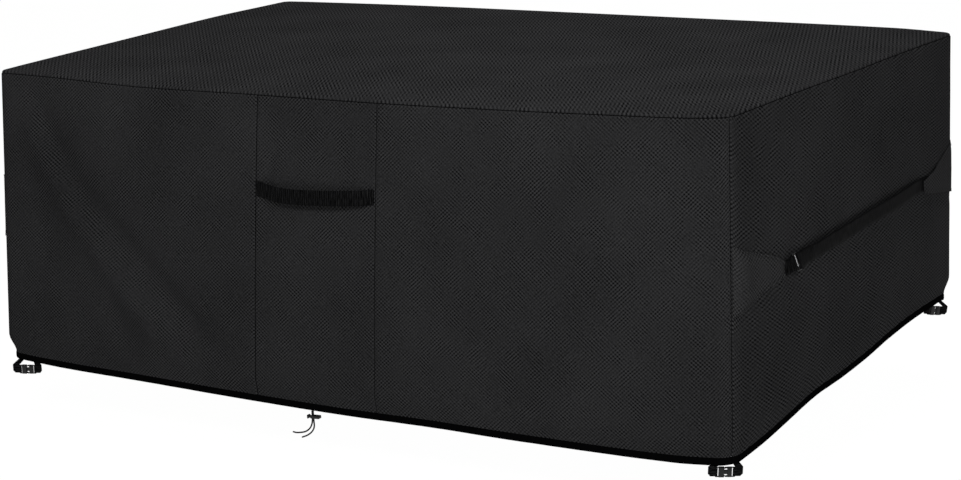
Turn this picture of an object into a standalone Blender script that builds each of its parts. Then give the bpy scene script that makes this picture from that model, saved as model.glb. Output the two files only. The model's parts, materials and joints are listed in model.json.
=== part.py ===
"""A fitted cloth cover for a long patio table, standing as if it were pulled over one.

Metres, +Z up. The origin is the middle of the top panel's underside, where the furniture
carries the cover: X runs along the front, +Y to the back, and the walls hang down from there.
Every wall is one rule: a stretch of the rounded outline, moved by short tables of how high
its seam sits, how low its hem hangs and where its soft folds lie.
"""
import math
from collections import namedtuple

import bmesh
import bpy
from mathutils import Matrix, Vector

MM = 0.001

# The cover
LENGTH = 2.13
WIDTH = 1.32
HEIGHT = 0.74
CLOTH = 2.0 * MM
GAP = 0.3 * MM
RIM_RADIUS = 6.0 * MM
TOP_CORNER_RADIUS = 22.0 * MM
HEM_CORNER_RADIUS = 45.0 * MM
HEM_TUCK = 10.0
TUCK_HEIGHT = 50.0 * MM
BILLOW = 5.0 * MM
CROWN = 2.0 * MM

# The binding tape round the hem
CASING_HEIGHT = 18.0 * MM
CASING_THICKNESS = 6.5 * MM
CASING_SIDES = 8

# Upright seams of the front, from the middle of the front
SEAM_LEFT_TOP, SEAM_LEFT_HEM = -0.224, -0.246
SEAM_RIGHT_TOP, SEAM_RIGHT_HEM = 0.129, 0.107

# Webbing
WEBBING_WIDTH = 38.0 * MM
WEBBING_THICKNESS = 1.8 * MM
HEM_STRAP_WIDTH = 18.8 * MM
HEM_STRAP_THICKNESS = 1.4 * MM
HEM_CLEARANCE = 2.4 * MM

# Stations along a wall and rows down it
CORNER_STATIONS = (0.0, 0.011, 0.022, 0.045)
LONG_CELLS = 22
SHORT_CELLS = 11
WALL_ROWS = (0.0, 0.11, 0.23, 0.35, 0.47, 0.59, 0.71, 0.82, 0.91, 0.96, 1.0)
PLAIN_ROWS = (0.0, 0.16, 0.34, 0.52, 0.7, 0.86, 0.95, 1.0)

CLOTH_COLOUR = (0.021, 0.021, 0.022)
TAPE_COLOUR = (0.006, 0.006, 0.006)
PLASTIC_COLOUR = (0.014, 0.014, 0.015)

Finish = namedtuple("Finish", "name colour roughness")
CLOTH_FINISH = Finish("cover_cloth", CLOTH_COLOUR, 0.75)
TAPE_FINISH = Finish("binding_tape", TAPE_COLOUR, 0.6)
WEBBING_FINISH = Finish("webbing", TAPE_COLOUR, 0.7)
PLASTIC_FINISH = Finish("buckle_plastic", PLASTIC_COLOUR, 0.4)
CORD_FINISH = Finish("drawcord", TAPE_COLOUR, 0.65)

# How far each corner of the cloth stands from the plain box, in mm: x and y at the top seam,
# x and y at the hem, and how far the hem is drawn in below that.
Corner = namedtuple("Corner", "top_x top_y hem_x hem_y tuck")
CORNERS = {
    "front_left": Corner(-5, 8, -37, -32, 18),
    "front_right": Corner(-4, -4, 10, -38, 10),
    "back_right": Corner(7, 4, 9, 12, 14),
    "back_left": Corner(-8, -2, -16, 8, 14),
}

# Each wall runs anticlockwise round the cover, seen from above.
Wall = namedtuple("Wall", "start end along outward length distance seam hem")

# Named columns: the place along the wall in metres, and a height in mm above the plain box.
Level = namedtuple("Level", "place height")


def levels(*rows):
    """A table of heights along a wall, from rows of place and height."""
    return [Level(*row) for row in rows]


WALLS = {
    "front": Wall(
        "front_left", "front_right", Vector((1, 0, 0)), Vector((0, -1, 0)), LENGTH, WIDTH / 2,
        levels((-1.065, 2), (-0.9, 0), (-0.6, -9), (-0.24, -7), (0.13, -6), (0.47, -1),
               (0.74, 5), (0.95, 11), (1.065, 19)),
        levels((-1.065, -33), (-0.9, -39), (-0.62, -44), (-0.31, -51), (0.0, -55), (0.27, -53),
               (0.5, -55), (0.9, -51), (1.065, -38)),
    ),
    "right": Wall(
        "front_right", "back_right", Vector((0, 1, 0)), Vector((1, 0, 0)), WIDTH, LENGTH / 2,
        levels((-0.66, 19), (-0.47, 17), (-0.25, 14), (0.01, 9), (0.2, 7), (0.45, 3),
               (0.58, 0), (0.66, -1)),
        levels((-0.66, -38), (-0.49, -30), (-0.36, -17), (-0.21, -2), (-0.06, 0), (0.09, 7),
               (0.24, 20), (0.41, 28), (0.59, 26), (0.66, 19)),
    ),
    "back": Wall(
        "back_right", "back_left", Vector((-1, 0, 0)), Vector((0, 1, 0)), LENGTH, WIDTH / 2,
        levels((-1.065, -1), (-0.9, 5), (-0.3, 6), (0.3, 6), (0.62, 5), (0.97, 1), (1.065, -1)),
        levels((-1.065, 19), (-0.9, 6), (-0.5, -20), (0.0, -16), (0.5, -24), (1.065, -4)),
    ),
    "left": Wall(
        "back_left", "front_left", Vector((0, -1, 0)), Vector((-1, 0, 0)), WIDTH, LENGTH / 2,
        levels((-0.66, -1), (-0.54, 1), (-0.3, 5), (0.14, 4), (0.55, 3), (0.66, 2)),
        levels((-0.66, -4), (-0.34, -24), (0.0, -18), (0.35, -32), (0.66, -33)),
    ),
}

# Soft folds: a line of points (place along the wall, height below the top), how far the fold
# spreads to each side of it, and how far it stands out (+) or in (-), in mm.
Fold = namedtuple("Fold", "wall line spread depth")
FOLDS = (
    # The two tension folds that run from the upper left to the lower middle of the front
    Fold("front", ((-0.93, -0.07), (-0.83, -0.26), (-0.66, -0.43), (-0.51, -0.56),
                   (-0.36, -0.66)), 50, -7.5),
    Fold("front", ((-0.95, -0.15), (-0.84, -0.33), (-0.70, -0.49), (-0.57, -0.61),
                   (-0.47, -0.69)), 42, 7.0),
    Fold("front", ((-0.80, -0.55), (-0.62, -0.68)), 40, -5.0),
    # Shallow hollows where the front lies against nothing
    Fold("front", ((0.30, -0.36), (0.78, -0.30)), 110, -5.0),
    Fold("front", ((0.32, -0.62), (0.62, -0.56), (0.90, -0.64)), 75, 4.0),
    Fold("front", ((-0.10, -0.40), (0.02, -0.62)), 70, -3.5),
    Fold("front", ((0.95, -0.12), (0.90, -0.40)), 90, 4.0),
    # The right end is drawn in along its strap and stands out below it
    Fold("right", ((-0.38, -0.375), (0.40, -0.35)), 45, -8.0),
    Fold("right", ((-0.44, -0.52), (-0.20, -0.60)), 80, 5.0),
    Fold("right", ((0.05, -0.10), (0.45, -0.22)), 90, -4.0),
    Fold("right", ((0.10, -0.58), (0.42, -0.50)), 70, 5.0),
    # The hidden sides hang the same way
    Fold("left", ((-0.40, -0.35), (0.38, -0.375)), 45, -8.0),
    Fold("left", ((-0.30, -0.58), (0.25, -0.52)), 80, 5.0),
    Fold("back", ((-0.70, -0.15), (-0.35, -0.60)), 80, -6.0),
    Fold("back", ((0.20, -0.30), (0.65, -0.45)), 100, 5.0),
)

# The front handle and the end straps, as rows of place, height below the top and how far the
# webbing's middle stands off the cloth, in mm.
StrapRow = namedtuple("StrapRow", "place drop stand_off")
HANDLE_ROUTE = (
    StrapRow(-0.2290, -0.2385, 2.0), StrapRow(-0.2100, -0.2402, 4.0),
    StrapRow(-0.1600, -0.2455, 17.0), StrapRow(-0.1050, -0.2465, 22.0),
    StrapRow(-0.0400, -0.2440, 22.0), StrapRow(0.0300, -0.2405, 19.0),
    StrapRow(0.0850, -0.2365, 12.0), StrapRow(0.1080, -0.2343, 3.5),
    StrapRow(0.1200, -0.2335, 2.0),
)
HANDLE_PIECES = 20

# The outlines of the strap tabs, as rows of distance from the corner seam, top edge and bottom
# edge below the top, and how far the cloth's outer face stands off the panel, in mm.
TabRow = namedtuple("TabRow", "reach top bottom puff")
TAB_ROWS = {
    "right_front": (
        TabRow(0.002, -0.270, -0.4365, 3.0), TabRow(0.020, -0.277, -0.4310, 10.0),
        TabRow(0.045, -0.286, -0.4240, 14.0), TabRow(0.080, -0.2975, -0.4145, 12.0),
        TabRow(0.125, -0.312, -0.4050, 9.5), TabRow(0.175, -0.3285, -0.3990, 9.0),
        TabRow(0.220, -0.3470, -0.3960, 9.0), TabRow(0.242, -0.3570, -0.3945, 9.0),
        TabRow(0.250, -0.3610, -0.3935, 9.0),
    ),
    "right_back": (
        TabRow(0.002, -0.280, -0.4210, 3.0), TabRow(0.020, -0.286, -0.4185, 6.0),
        TabRow(0.045, -0.2935, -0.4145, 8.0), TabRow(0.080, -0.305, -0.4080, 9.0),
        TabRow(0.120, -0.3185, -0.4010, 8.5), TabRow(0.165, -0.333, -0.3930, 8.0),
        TabRow(0.205, -0.344, -0.3850, 8.0), TabRow(0.224, -0.348, -0.3805, 8.0),
    ),
    "left_front": (
        TabRow(0.002, -0.270, -0.4365, 3.0), TabRow(0.020, -0.277, -0.4310, 4.2),
        TabRow(0.045, -0.286, -0.4240, 5.5), TabRow(0.080, -0.2975, -0.4145, 7.5),
        TabRow(0.125, -0.312, -0.4050, 8.5), TabRow(0.175, -0.3285, -0.3990, 9.0),
        TabRow(0.220, -0.3470, -0.3960, 9.0), TabRow(0.242, -0.3570, -0.3945, 9.0),
        TabRow(0.250, -0.3610, -0.3935, 9.0),
    ),
    "left_back": (
        TabRow(0.002, -0.280, -0.4210, 3.0), TabRow(0.020, -0.286, -0.4185, 6.0),
        TabRow(0.045, -0.2935, -0.4145, 8.0), TabRow(0.080, -0.305, -0.4080, 9.0),
        TabRow(0.120, -0.3185, -0.4010, 8.5), TabRow(0.165, -0.333, -0.3930, 8.0),
        TabRow(0.205, -0.344, -0.3850, 8.0), TabRow(0.224, -0.348, -0.3805, 8.0),
    ),
}
TAB_CELLS = 6
TAB_EDGE = 3.0

# The end strap, from its slide at the front to the tab at the back
STRAP_ROUTE = (
    StrapRow(-0.290, -0.3725, 14.0), StrapRow(-0.250, -0.3735, 14.0),
    StrapRow(-0.160, -0.3720, 13.0), StrapRow(0.025, -0.3670, 12.0),
    StrapRow(0.220, -0.3630, 12.0), StrapRow(0.345, -0.3602, 9.0), StrapRow(0.395, -0.3592, 6.0),
    StrapRow(0.430, -0.3590, 4.0), StrapRow(0.480, -0.3595, 3.7),
)
STRAP_PIECES = 18
SHORT_STRAP_WIDTH = 34.0 * MM
SLIDE_PLACE = -0.357
SLIDE_DROP = -0.3735
SLIDE_STAND_OFF = 16.5 * MM
SLIDE_LEAN = 20.0
LEAN_REACH = {"long": 0.13, "short": 0.062}


# ---------------------------------------------------------------------------------------
# The cover's shape


def through(rows, place):
    """The value at a place of a smooth line through rows of (place, value)."""
    places = [row[0] for row in rows]
    values = [row[1] for row in rows]
    if place <= places[0]:
        return values[0]
    if place >= places[-1]:
        return values[-1]
    k = max(i for i in range(len(places) - 1) if places[i] <= place)

    def slope(i):
        low, high = max(i - 1, 0), min(i + 1, len(places) - 1)
        return (values[high] - values[low]) / (places[high] - places[low])

    span = places[k + 1] - places[k]
    x = (place - places[k]) / span
    return (
        (2 * x**3 - 3 * x**2 + 1) * values[k]
        + (x**3 - 2 * x**2 + x) * span * slope(k)
        + (3 * x**2 - 2 * x**3) * values[k + 1]
        + (x**3 - x**2) * span * slope(k + 1)
    )


def blend(a, b, x):
    return a + (b - a) * x


def ease(x):
    x = min(max(x, 0.0), 1.0)
    return x * x * (3 - 2 * x)


def seam_height(wall, place):
    """Height of the top seam, in metres, before the cover is lowered onto its origin."""
    return through(WALLS[wall].seam, place) * MM


def top_height(along, across):
    """Height of the top's outer skin over the plain box, at -1 to 1 along and across."""
    x, y = along * LENGTH / 2, across * WIDTH / 2
    front, back = seam_height("front", x), seam_height("back", -x)
    left, right = seam_height("left", -y), seam_height("right", y)
    u, v = (along + 1) / 2, (across + 1) / 2
    corners = (
        blend(seam_height("front", -LENGTH / 2), seam_height("front", LENGTH / 2), u),
        blend(seam_height("back", LENGTH / 2), seam_height("back", -LENGTH / 2), u),
    )
    coons = blend(front, back, v) + blend(left, right, u) - blend(*corners, v)
    return coons + RIM_RADIUS + CROWN * (1 - along**2) * (1 - across**2)


LIFT = CLOTH - top_height(0.0, 0.0)


def fold_depth(wall, place, drop):
    """How far the soft folds push a point of a wall out, in metres."""
    point = Vector((place, drop))
    depth = 0.0
    for fold in FOLDS:
        if fold.wall != wall:
            continue
        nearest = min(
            distance_to_line(point, Vector(a), Vector(b))
            for a, b in zip(fold.line, fold.line[1:])
        )
        depth += fold.depth * MM * math.exp(-((nearest / (fold.spread * MM)) ** 2))
    return depth


def distance_to_line(point, start, end):
    span = end - start
    x = min(max((point - start).dot(span) / span.length_squared, 0.0), 1.0)
    return (point - start - span * x).length


def wall_point(wall, place, row):
    """A point on a wall's outer skin and the outward direction there.

    place runs along the wall from its middle, in metres, and row from 0 at the top seam to 1
    at the casing's upper edge. The end of a wall is the middle of its rounded corner.
    """
    w = WALLS[wall]
    radius = blend(TOP_CORNER_RADIUS, HEM_CORNER_RADIUS, row)
    half = w.length / 2
    turned = max(abs(place) - (half - radius), 0.0) / radius * math.radians(45)
    side = math.copysign(1.0, place)
    outward = (w.outward * math.cos(turned) + w.along * side * math.sin(turned)).normalized()
    if turned:
        centre = w.along * side * (half - radius) + w.outward * (w.distance - radius)
        point = centre + outward * radius
    else:
        point = w.along * place + w.outward * w.distance

    share = place / w.length + 0.5
    start, end = CORNERS[w.start], CORNERS[w.end]
    moved_start = blend(Vector(start[:2]), Vector(start[2:4]), row)
    moved_end = blend(Vector(end[:2]), Vector(end[2:4]), row)
    moved = blend(moved_start, moved_end, share) * MM
    point = point + Vector((moved.x, moved.y, 0))

    top = seam_height(wall, place) + LIFT
    bottom = through(w.hem, place) * MM - HEIGHT + LIFT + CASING_HEIGHT + GAP
    height = blend(top - GAP / 2, bottom, row)
    drop = height - LIFT
    flat = 1 - ease(abs(place) / half * 4 - 3)
    edge = ease(row * 9) * ease((1 - row) * 7)
    out = BILLOW * math.sin(math.pi * row) * flat
    out += fold_depth(wall, place, drop) * edge * (0.25 + 0.75 * flat)
    tuck = blend(end.tuck if side > 0 else start.tuck, HEM_TUCK, flat) * MM
    out -= tuck * ease(1 - (height - bottom) / TUCK_HEIGHT)
    point = point + outward * out
    point.z = height
    return point, outward


def row_at(wall, place, drop):
    """The row of a wall that lies a given height below the plain top."""
    w = WALLS[wall]
    top = seam_height(wall, place)
    bottom = through(w.hem, place) * MM - HEIGHT + CASING_HEIGHT
    return (top - drop) / (top - bottom)


def on_wall(wall, place, drop, stand_off):
    """A point standing off a wall, at a height below the plain top."""
    point, outward = wall_point(wall, place, row_at(wall, place, drop))
    return point + outward * stand_off, outward


def end_stations(length, inner):
    """Places along a wall: close together round each corner, and the inner ones given."""
    low = [-length / 2 + s for s in CORNER_STATIONS]
    return low + list(inner) + [-p for p in reversed(low)]


def spread_evenly(start, end, cells):
    """The places between start and end, without these two."""
    return [blend(start, end, k / cells) for k in range(1, cells)]


FLAT_START = -LENGTH / 2 + CORNER_STATIONS[-1]
FRONT_CELLS = {"left": 8, "centre": 4, "right": 10}


# ---------------------------------------------------------------------------------------
# Making objects


def clear_scene():
    for obj in list(bpy.data.objects):
        bpy.data.objects.remove(obj, do_unlink=True)


def finish_material(finish):
    material = bpy.data.materials.get(finish.name)
    if material is None:
        material = bpy.data.materials.new(finish.name)
        material.use_nodes = True
        shader = material.node_tree.nodes["Principled BSDF"]
        shader.inputs["Base Color"].default_value = (*finish.colour, 1.0)
        shader.inputs["Roughness"].default_value = finish.roughness
        shader.inputs["Metallic"].default_value = 0.0
        material.diffuse_color = (*finish.colour, 1.0)
    return material


def add_object(name, bm, finish, frame=None):
    """Turn a closed bmesh into a named object, with its own material."""
    bmesh.ops.recalc_face_normals(bm, faces=bm.faces)
    if bm.calc_volume(signed=True) < 0:
        bmesh.ops.reverse_faces(bm, faces=bm.faces)
    mesh = bpy.data.meshes.new(name)
    bm.to_mesh(mesh)
    bm.free()
    mesh.materials.append(finish_material(finish))
    obj = bpy.data.objects.new(name, mesh)
    bpy.context.scene.collection.objects.link(obj)
    if frame is not None:
        obj.matrix_world = frame
    return obj


def thick_sheet(name, columns, rows, surface, finish):
    """A closed sheet over a grid: surface(i, j) gives a point and the way to its inner skin."""
    bm = bmesh.new()
    bmesh.ops.create_grid(bm, x_segments=columns, y_segments=rows, size=1.0)
    inward = bm.verts.layers.float_vector.new("inward")
    for vert in bm.verts:
        i = round((vert.co.x + 1) / 2 * columns)
        j = round((vert.co.y + 1) / 2 * rows)
        vert.co, vert[inward] = surface(i, j)
    grown = bmesh.ops.extrude_face_region(bm, geom=bm.faces[:], use_keep_orig=True)
    for vert in (g for g in grown["geom"] if isinstance(g, bmesh.types.BMVert)):
        vert.co += vert[inward]
    return add_object(name, bm, finish)


def loft(name, rings, finish, frame=None, ready=None):
    """A closed solid through rings of equally many points; ready(bm) may shape it further."""
    bm = bmesh.new()
    loops = [[bm.verts.new(point) for point in ring] for ring in rings]
    count = len(loops[0])
    for one, two in zip(loops, loops[1:]):
        for k in range(count):
            bm.faces.new((one[k], one[(k + 1) % count], two[(k + 1) % count], two[k]))
    bm.faces.new(reversed(loops[0]))
    bm.faces.new(loops[-1])
    if ready:
        ready(bm, loops)
    return add_object(name, bm, finish, frame)


def smooth_route(points, count):
    """count + 1 places on a smooth curve through the points, evenly spread."""
    ends = [points[0] * 2 - points[1], *points, points[-1] * 2 - points[-2]]
    fine = []
    for a, b, c, d in zip(ends, ends[1:], ends[2:], ends[3:]):
        for k in range(12):
            x = k / 12
            fine.append(
                0.5 * (2 * b + (c - a) * x + (2 * a - 5 * b + 4 * c - d) * x**2
                       + (3 * b - 3 * c + d - a) * x**3)
            )
    fine.append(points[-1])
    lengths = [0.0]
    for one, two in zip(fine, fine[1:]):
        lengths.append(lengths[-1] + (two - one).length)
    route = []
    for k in range(count + 1):
        target = lengths[-1] * k / count
        i = max(j for j in range(len(fine) - 1) if lengths[j] <= target)
        span = lengths[i + 1] - lengths[i]
        route.append(fine[i].lerp(fine[i + 1], (target - lengths[i]) / span))
    return route


# ---------------------------------------------------------------------------------------
# Cloth panels


def front_seams(row):
    """The places of the two upright seams on a row of the front."""
    return (
        blend(SEAM_LEFT_TOP, SEAM_LEFT_HEM, row),
        blend(SEAM_RIGHT_TOP, SEAM_RIGHT_HEM, row),
    )


def front_places(part, row):
    """Places of one front panel's columns on a row; neighbours stay a gap apart."""
    left, right = front_seams(row)
    if part == "left":
        corner = [-LENGTH / 2 + s for s in CORNER_STATIONS]
        last = left - GAP / 2
        return corner + spread_evenly(corner[-1], last, FRONT_CELLS[part]) + [last]
    if part == "right":
        corner = [LENGTH / 2 - s for s in reversed(CORNER_STATIONS)]
        first = right + GAP / 2
        return [first] + spread_evenly(first, corner[0], FRONT_CELLS[part]) + corner
    first, last = left + GAP / 2, right - GAP / 2
    return [first] + spread_evenly(first, last, FRONT_CELLS[part]) + [last]


def shifted_off_corner(wall, place):
    """A half gap back from the corner seam, for the places that lie on it."""
    half = WALLS[wall].length / 2
    return math.copysign(half - GAP, place) if abs(place) > half - GAP else place


def panel(name, wall, places_on, rows):
    """One wall panel, whose places_on(row) gives the columns of a row."""
    columns = len(places_on(0.0)) - 1

    def surface(i, j):
        row = rows[j]
        place = shifted_off_corner(wall, places_on(row)[i])
        point, outward = wall_point(wall, place, row)
        return point, -outward * CLOTH

    return thick_sheet(name, columns, len(rows) - 1, surface, CLOTH_FINISH)


def wall_stations(wall):
    """Every station of a wall, at its top; the top panel's edge uses the same ones."""
    if wall == "front":
        left, centre, right = (front_places(part, 0.0) for part in ("left", "centre", "right"))
        return left[:-1] + [SEAM_LEFT_TOP] + centre[1:-1] + [SEAM_RIGHT_TOP] + right[1:]
    length = WALLS[wall].length
    cells = LONG_CELLS if length == LENGTH else SHORT_CELLS
    start = -length / 2 + CORNER_STATIONS[-1]
    return end_stations(length, spread_evenly(start, -start, cells))


def build_walls():
    for part in ("left", "centre", "right"):
        panel(
            f"front_panel_{part}", "front",
            lambda row, part=part: front_places(part, row), WALL_ROWS,
        )
    for name, wall, rows in (
        ("end_panel_right", "right", WALL_ROWS),
        ("end_panel_left", "left", WALL_ROWS),
        ("back_panel", "back", PLAIN_ROWS),
    ):
        stations = wall_stations(wall)
        panel(name, wall, lambda row, s=stations: s, rows)


def rim_point(wall, place, angle):
    """A point of the turned-down edge, from 0 at the seam to 90 degrees on the top."""
    seam, outward = wall_point(wall, place, 0.0)
    outer = seam - outward * RIM_RADIUS * (1 - math.cos(angle))
    outer.z += GAP + RIM_RADIUS * math.sin(angle)
    normal = outward * math.cos(angle) + Vector((0, 0, math.sin(angle)))
    return outer, -normal * CLOTH


def build_top():
    """The top panel: a grid whose edge curves down into the perimeter seam."""
    front, back = wall_stations("front"), wall_stations("back")
    right, left = wall_stations("right"), wall_stations("left")
    turn = [math.radians(a) for a in (0, 45, 90)]
    rings = len(turn) - 1
    columns, rows = len(front) - 1 + 2 * rings, len(right) - 1 + 2 * rings

    def edge(wall, k, angle):
        stations = {"front": front, "right": right, "back": back, "left": left}[wall]
        return rim_point(wall, stations[k], angle)

    def surface(i, j):
        # How many rings the point lies from the outer edge, and its place within
        ring = min(i, j, columns - i, rows - j, rings)
        angle = turn[ring]
        a = min(max(i - rings, 0), len(front) - 1)
        b = min(max(j - rings, 0), len(right) - 1)
        if ring < rings or i in (rings, columns - rings) or j in (rings, rows - rings):
            if j == ring:
                return edge("front", a, angle)
            if j == rows - ring:
                return edge("back", len(back) - 1 - a, angle)
            if i == ring:
                return edge("left", len(left) - 1 - b, angle)
            return edge("right", b, angle)
        u = front[a] / LENGTH + 0.5
        v = right[b] / WIDTH + 0.5
        low, high = edge("front", a, turn[-1])[0], edge("back", len(back) - 1 - a, turn[-1])[0]
        west, east = edge("left", len(left) - 1 - b, turn[-1])[0], edge("right", b, turn[-1])[0]
        across = blend(low, high, v) + blend(west, east, u)
        twist = blend(
            blend(edge("front", 0, turn[-1])[0], edge("front", len(front) - 1, turn[-1])[0], u),
            blend(edge("back", len(back) - 1, turn[-1])[0], edge("back", 0, turn[-1])[0], u),
            v,
        )
        point = across - twist
        point.z += CROWN * (1 - (2 * u - 1) ** 2) * (1 - (2 * v - 1) ** 2)
        return point, Vector((0, 0, -CLOTH))

    thick_sheet("top_panel", columns, rows, surface, CLOTH_FINISH)


# ---------------------------------------------------------------------------------------
# Binding tape, handle, tabs and end straps


def casing_section(centre, outward):
    """A rounded upright section of the hem's binding tape."""
    ring = []
    for k in range(CASING_SIDES):
        angle = 2 * math.pi * k / CASING_SIDES
        side = math.copysign(abs(math.cos(angle)) ** 0.55, math.cos(angle))
        rise = math.copysign(abs(math.sin(angle)) ** 0.55, math.sin(angle))
        ring.append(
            centre + outward * side * CASING_THICKNESS / 2
            + Vector((0, 0, rise * CASING_HEIGHT / 2))
        )
    return ring


def casing_centre(wall, place):
    """The middle of the binding tape's section, and the outward direction there."""
    point, outward = wall_point(wall, place, 1.0)
    centre = point - outward * CLOTH / 2
    centre.z -= CASING_HEIGHT / 2 + GAP
    return centre, outward


def build_casings():
    for wall, w in WALLS.items():
        inner = spread_evenly(-w.length / 2 + CORNER_STATIONS[-1],
                              w.length / 2 - CORNER_STATIONS[-1],
                              LONG_CELLS if w.length == LENGTH else SHORT_CELLS)
        places = [shifted_off_corner(wall, p) for p in end_stations(w.length, inner)]
        rings = [casing_section(*casing_centre(wall, place)) for place in places]
        loft(f"hem_casing_{wall}", rings, TAPE_FINISH)


def webbing_ring(centre, across, outward, width, thickness):
    """A flat rectangular section of webbing."""
    half, out = across * width / 2, outward * thickness / 2
    return [centre - half - out, centre + half - out, centre + half + out, centre - half + out]


def strap_rings(wall, route, pieces):
    """Sections of a strap that lies along a wall, through the rows of its route."""
    guide = []
    for row in route:
        point, _ = on_wall(wall, row.place, row.drop, row.stand_off * MM)
        guide.append(point)
    rings = []
    for centre in smooth_route(guide, pieces):
        place = centre.dot(WALLS[wall].along)
        _, outward = on_wall(wall, place, centre.z - LIFT, 0.0)
        low, _ = on_wall(wall, place, centre.z - LIFT - WEBBING_WIDTH / 2, 0.0)
        high, _ = on_wall(wall, place, centre.z - LIFT + WEBBING_WIDTH / 2, 0.0)
        across = (high - low).normalized()
        rings.append(
            webbing_ring(centre, across, outward, WEBBING_WIDTH, WEBBING_THICKNESS)
        )
    return rings


def build_handle():
    loft("front_handle", strap_rings("front", HANDLE_ROUTE, HANDLE_PIECES), WEBBING_FINISH)


def mirrored(side, place):
    """The right end's places run from front to back, the left end's the other way."""
    return place if side == "right" else -place


def build_tab(side, corner):
    """A tapered cloth tab sewn to a corner seam; its free end takes the end strap."""
    toward = 1 if corner == "front" else -1
    rows = TAB_ROWS[f"{side}_{corner}"]

    def surface(i, j):
        row = rows[i]
        share = j / TAB_CELLS
        drop = blend(row.bottom, row.top, share)
        place = mirrored(side, toward * (row.reach - WIDTH / 2))
        edge = 1 - (2 * share - 1) ** 4 if row.reach < 0.15 else 1.0
        lift = TAB_EDGE + (row.puff - TAB_EDGE) * edge
        point, outward = on_wall(side, place, drop, lift * MM)
        return point, -outward * CLOTH

    thick_sheet(
        f"strap_tab_{side}_{corner}", len(rows) - 1, TAB_CELLS, surface, CLOTH_FINISH
    )


SLIDE_HALF = Vector((11.0 * MM, 22.0 * MM, 1.5 * MM))
SLIDE_BAR = 3.0 * MM
SLIDE_SLOT = 6.5 * MM
SLIDE_CHEEK = 2.5 * MM


def slide_frame(side):
    """The slide's own axes: X along the strap to the back, Y up, Z out of the cover."""
    place = mirrored(side, SLIDE_PLACE)
    centre, outward = on_wall(side, place, SLIDE_DROP, SLIDE_STAND_OFF)
    back = Vector((0, 1, 0))
    up = outward.cross(back)
    if up.z < 0:
        up = -up
    # It lies over a little, so that its lower edge stands out
    lean = math.radians(SLIDE_LEAN)
    up, outward = (
        up * math.cos(lean) - outward * math.sin(lean),
        outward * math.cos(lean) + up * math.sin(lean),
    )
    axes = Matrix((back, up, outward)).transposed()
    return Matrix.Translation(centre) @ axes.to_4x4()


def box(bm, low, high):
    """A box between two corners, added to a bmesh."""
    size, centre = high - low, (high + low) / 2
    made = bmesh.ops.create_cube(bm, size=1.0)
    for vert in made["verts"]:
        vert.co = Vector(c * s for c, s in zip(vert.co, size)) + centre
    return made["verts"]


def plate_with_slots(half, slots, thickness):
    """A flat plate, as a grid whose slot cells are left open. slots are rows of (low, high)."""
    bm = bmesh.new()
    xs = [-half.x, *[v for slot in slots for v in slot[:2]], half.x]
    ys = [-half.y, -slots[0][2], slots[0][2], half.y]
    grid = [[bm.verts.new((x, y, -thickness / 2)) for y in ys] for x in xs]
    for i in range(len(xs) - 1):
        for j in range(len(ys) - 1):
            if i % 2 == 1 and j == 1:
                continue
            corners = (grid[i][j], grid[i + 1][j], grid[i + 1][j + 1], grid[i][j + 1])
            bm.faces.new(corners)
    grown = bmesh.ops.extrude_face_region(bm, geom=bm.faces[:], use_keep_orig=True)
    for vert in (g for g in grown["geom"] if isinstance(g, bmesh.types.BMVert)):
        vert.co.z += thickness
    return bm


def build_slide(side):
    """The strap slide: a plate with three bars, the middle one bare."""
    frame = slide_frame(side)
    slots = [
        (-SLIDE_BAR / 2 - SLIDE_SLOT, -SLIDE_BAR / 2, SLIDE_HALF.y - SLIDE_CHEEK),
        (SLIDE_BAR / 2, SLIDE_BAR / 2 + SLIDE_SLOT, SLIDE_HALF.y - SLIDE_CHEEK),
    ]
    bm = plate_with_slots(SLIDE_HALF, slots, 2 * SLIDE_HALF.z)
    add_object(f"strap_slide_{side}", bm, PLASTIC_FINISH, frame)
    return frame


def hairpin(edge, toward, half_plate, thickness, inset):
    """Places (along, off) of webbing turning round a bar's inner edge, from front to back.

    toward is the sign of the direction in which both layers leave.
    """
    radius = half_plate + GAP + thickness / 2
    centre = edge + toward * inset
    places = []
    for k in range(7):
        angle = math.radians(90 + 30 * k)
        places.append((centre + toward * radius * math.cos(angle), radius * math.sin(angle)))
    return places


def rings_along(points, ups, width, thickness):
    """Webbing sections along points, each as wide as the webbing in its own up direction."""
    rings = []
    for k, (centre, up) in enumerate(zip(points, ups)):
        before, after = points[max(k - 1, 0)], points[min(k + 1, len(points) - 1)]
        outward = (after - before).cross(up).normalized()
        rings.append(webbing_ring(centre, up, outward, width, thickness))
    return rings


def leaning(points, frame, reach):
    """Up directions that turn from upright into the slide's own, near the slide."""
    own = (frame.to_3x3() @ Vector((0, 1, 0))).normalized()
    upright = Vector((0, own.y, abs(own.z))).normalized()
    ups = []
    for point in points:
        share = ease(1.25 * (1 - (point - frame.translation).length / reach))
        ups.append(upright.lerp(own, share).normalized())
    return ups


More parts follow.
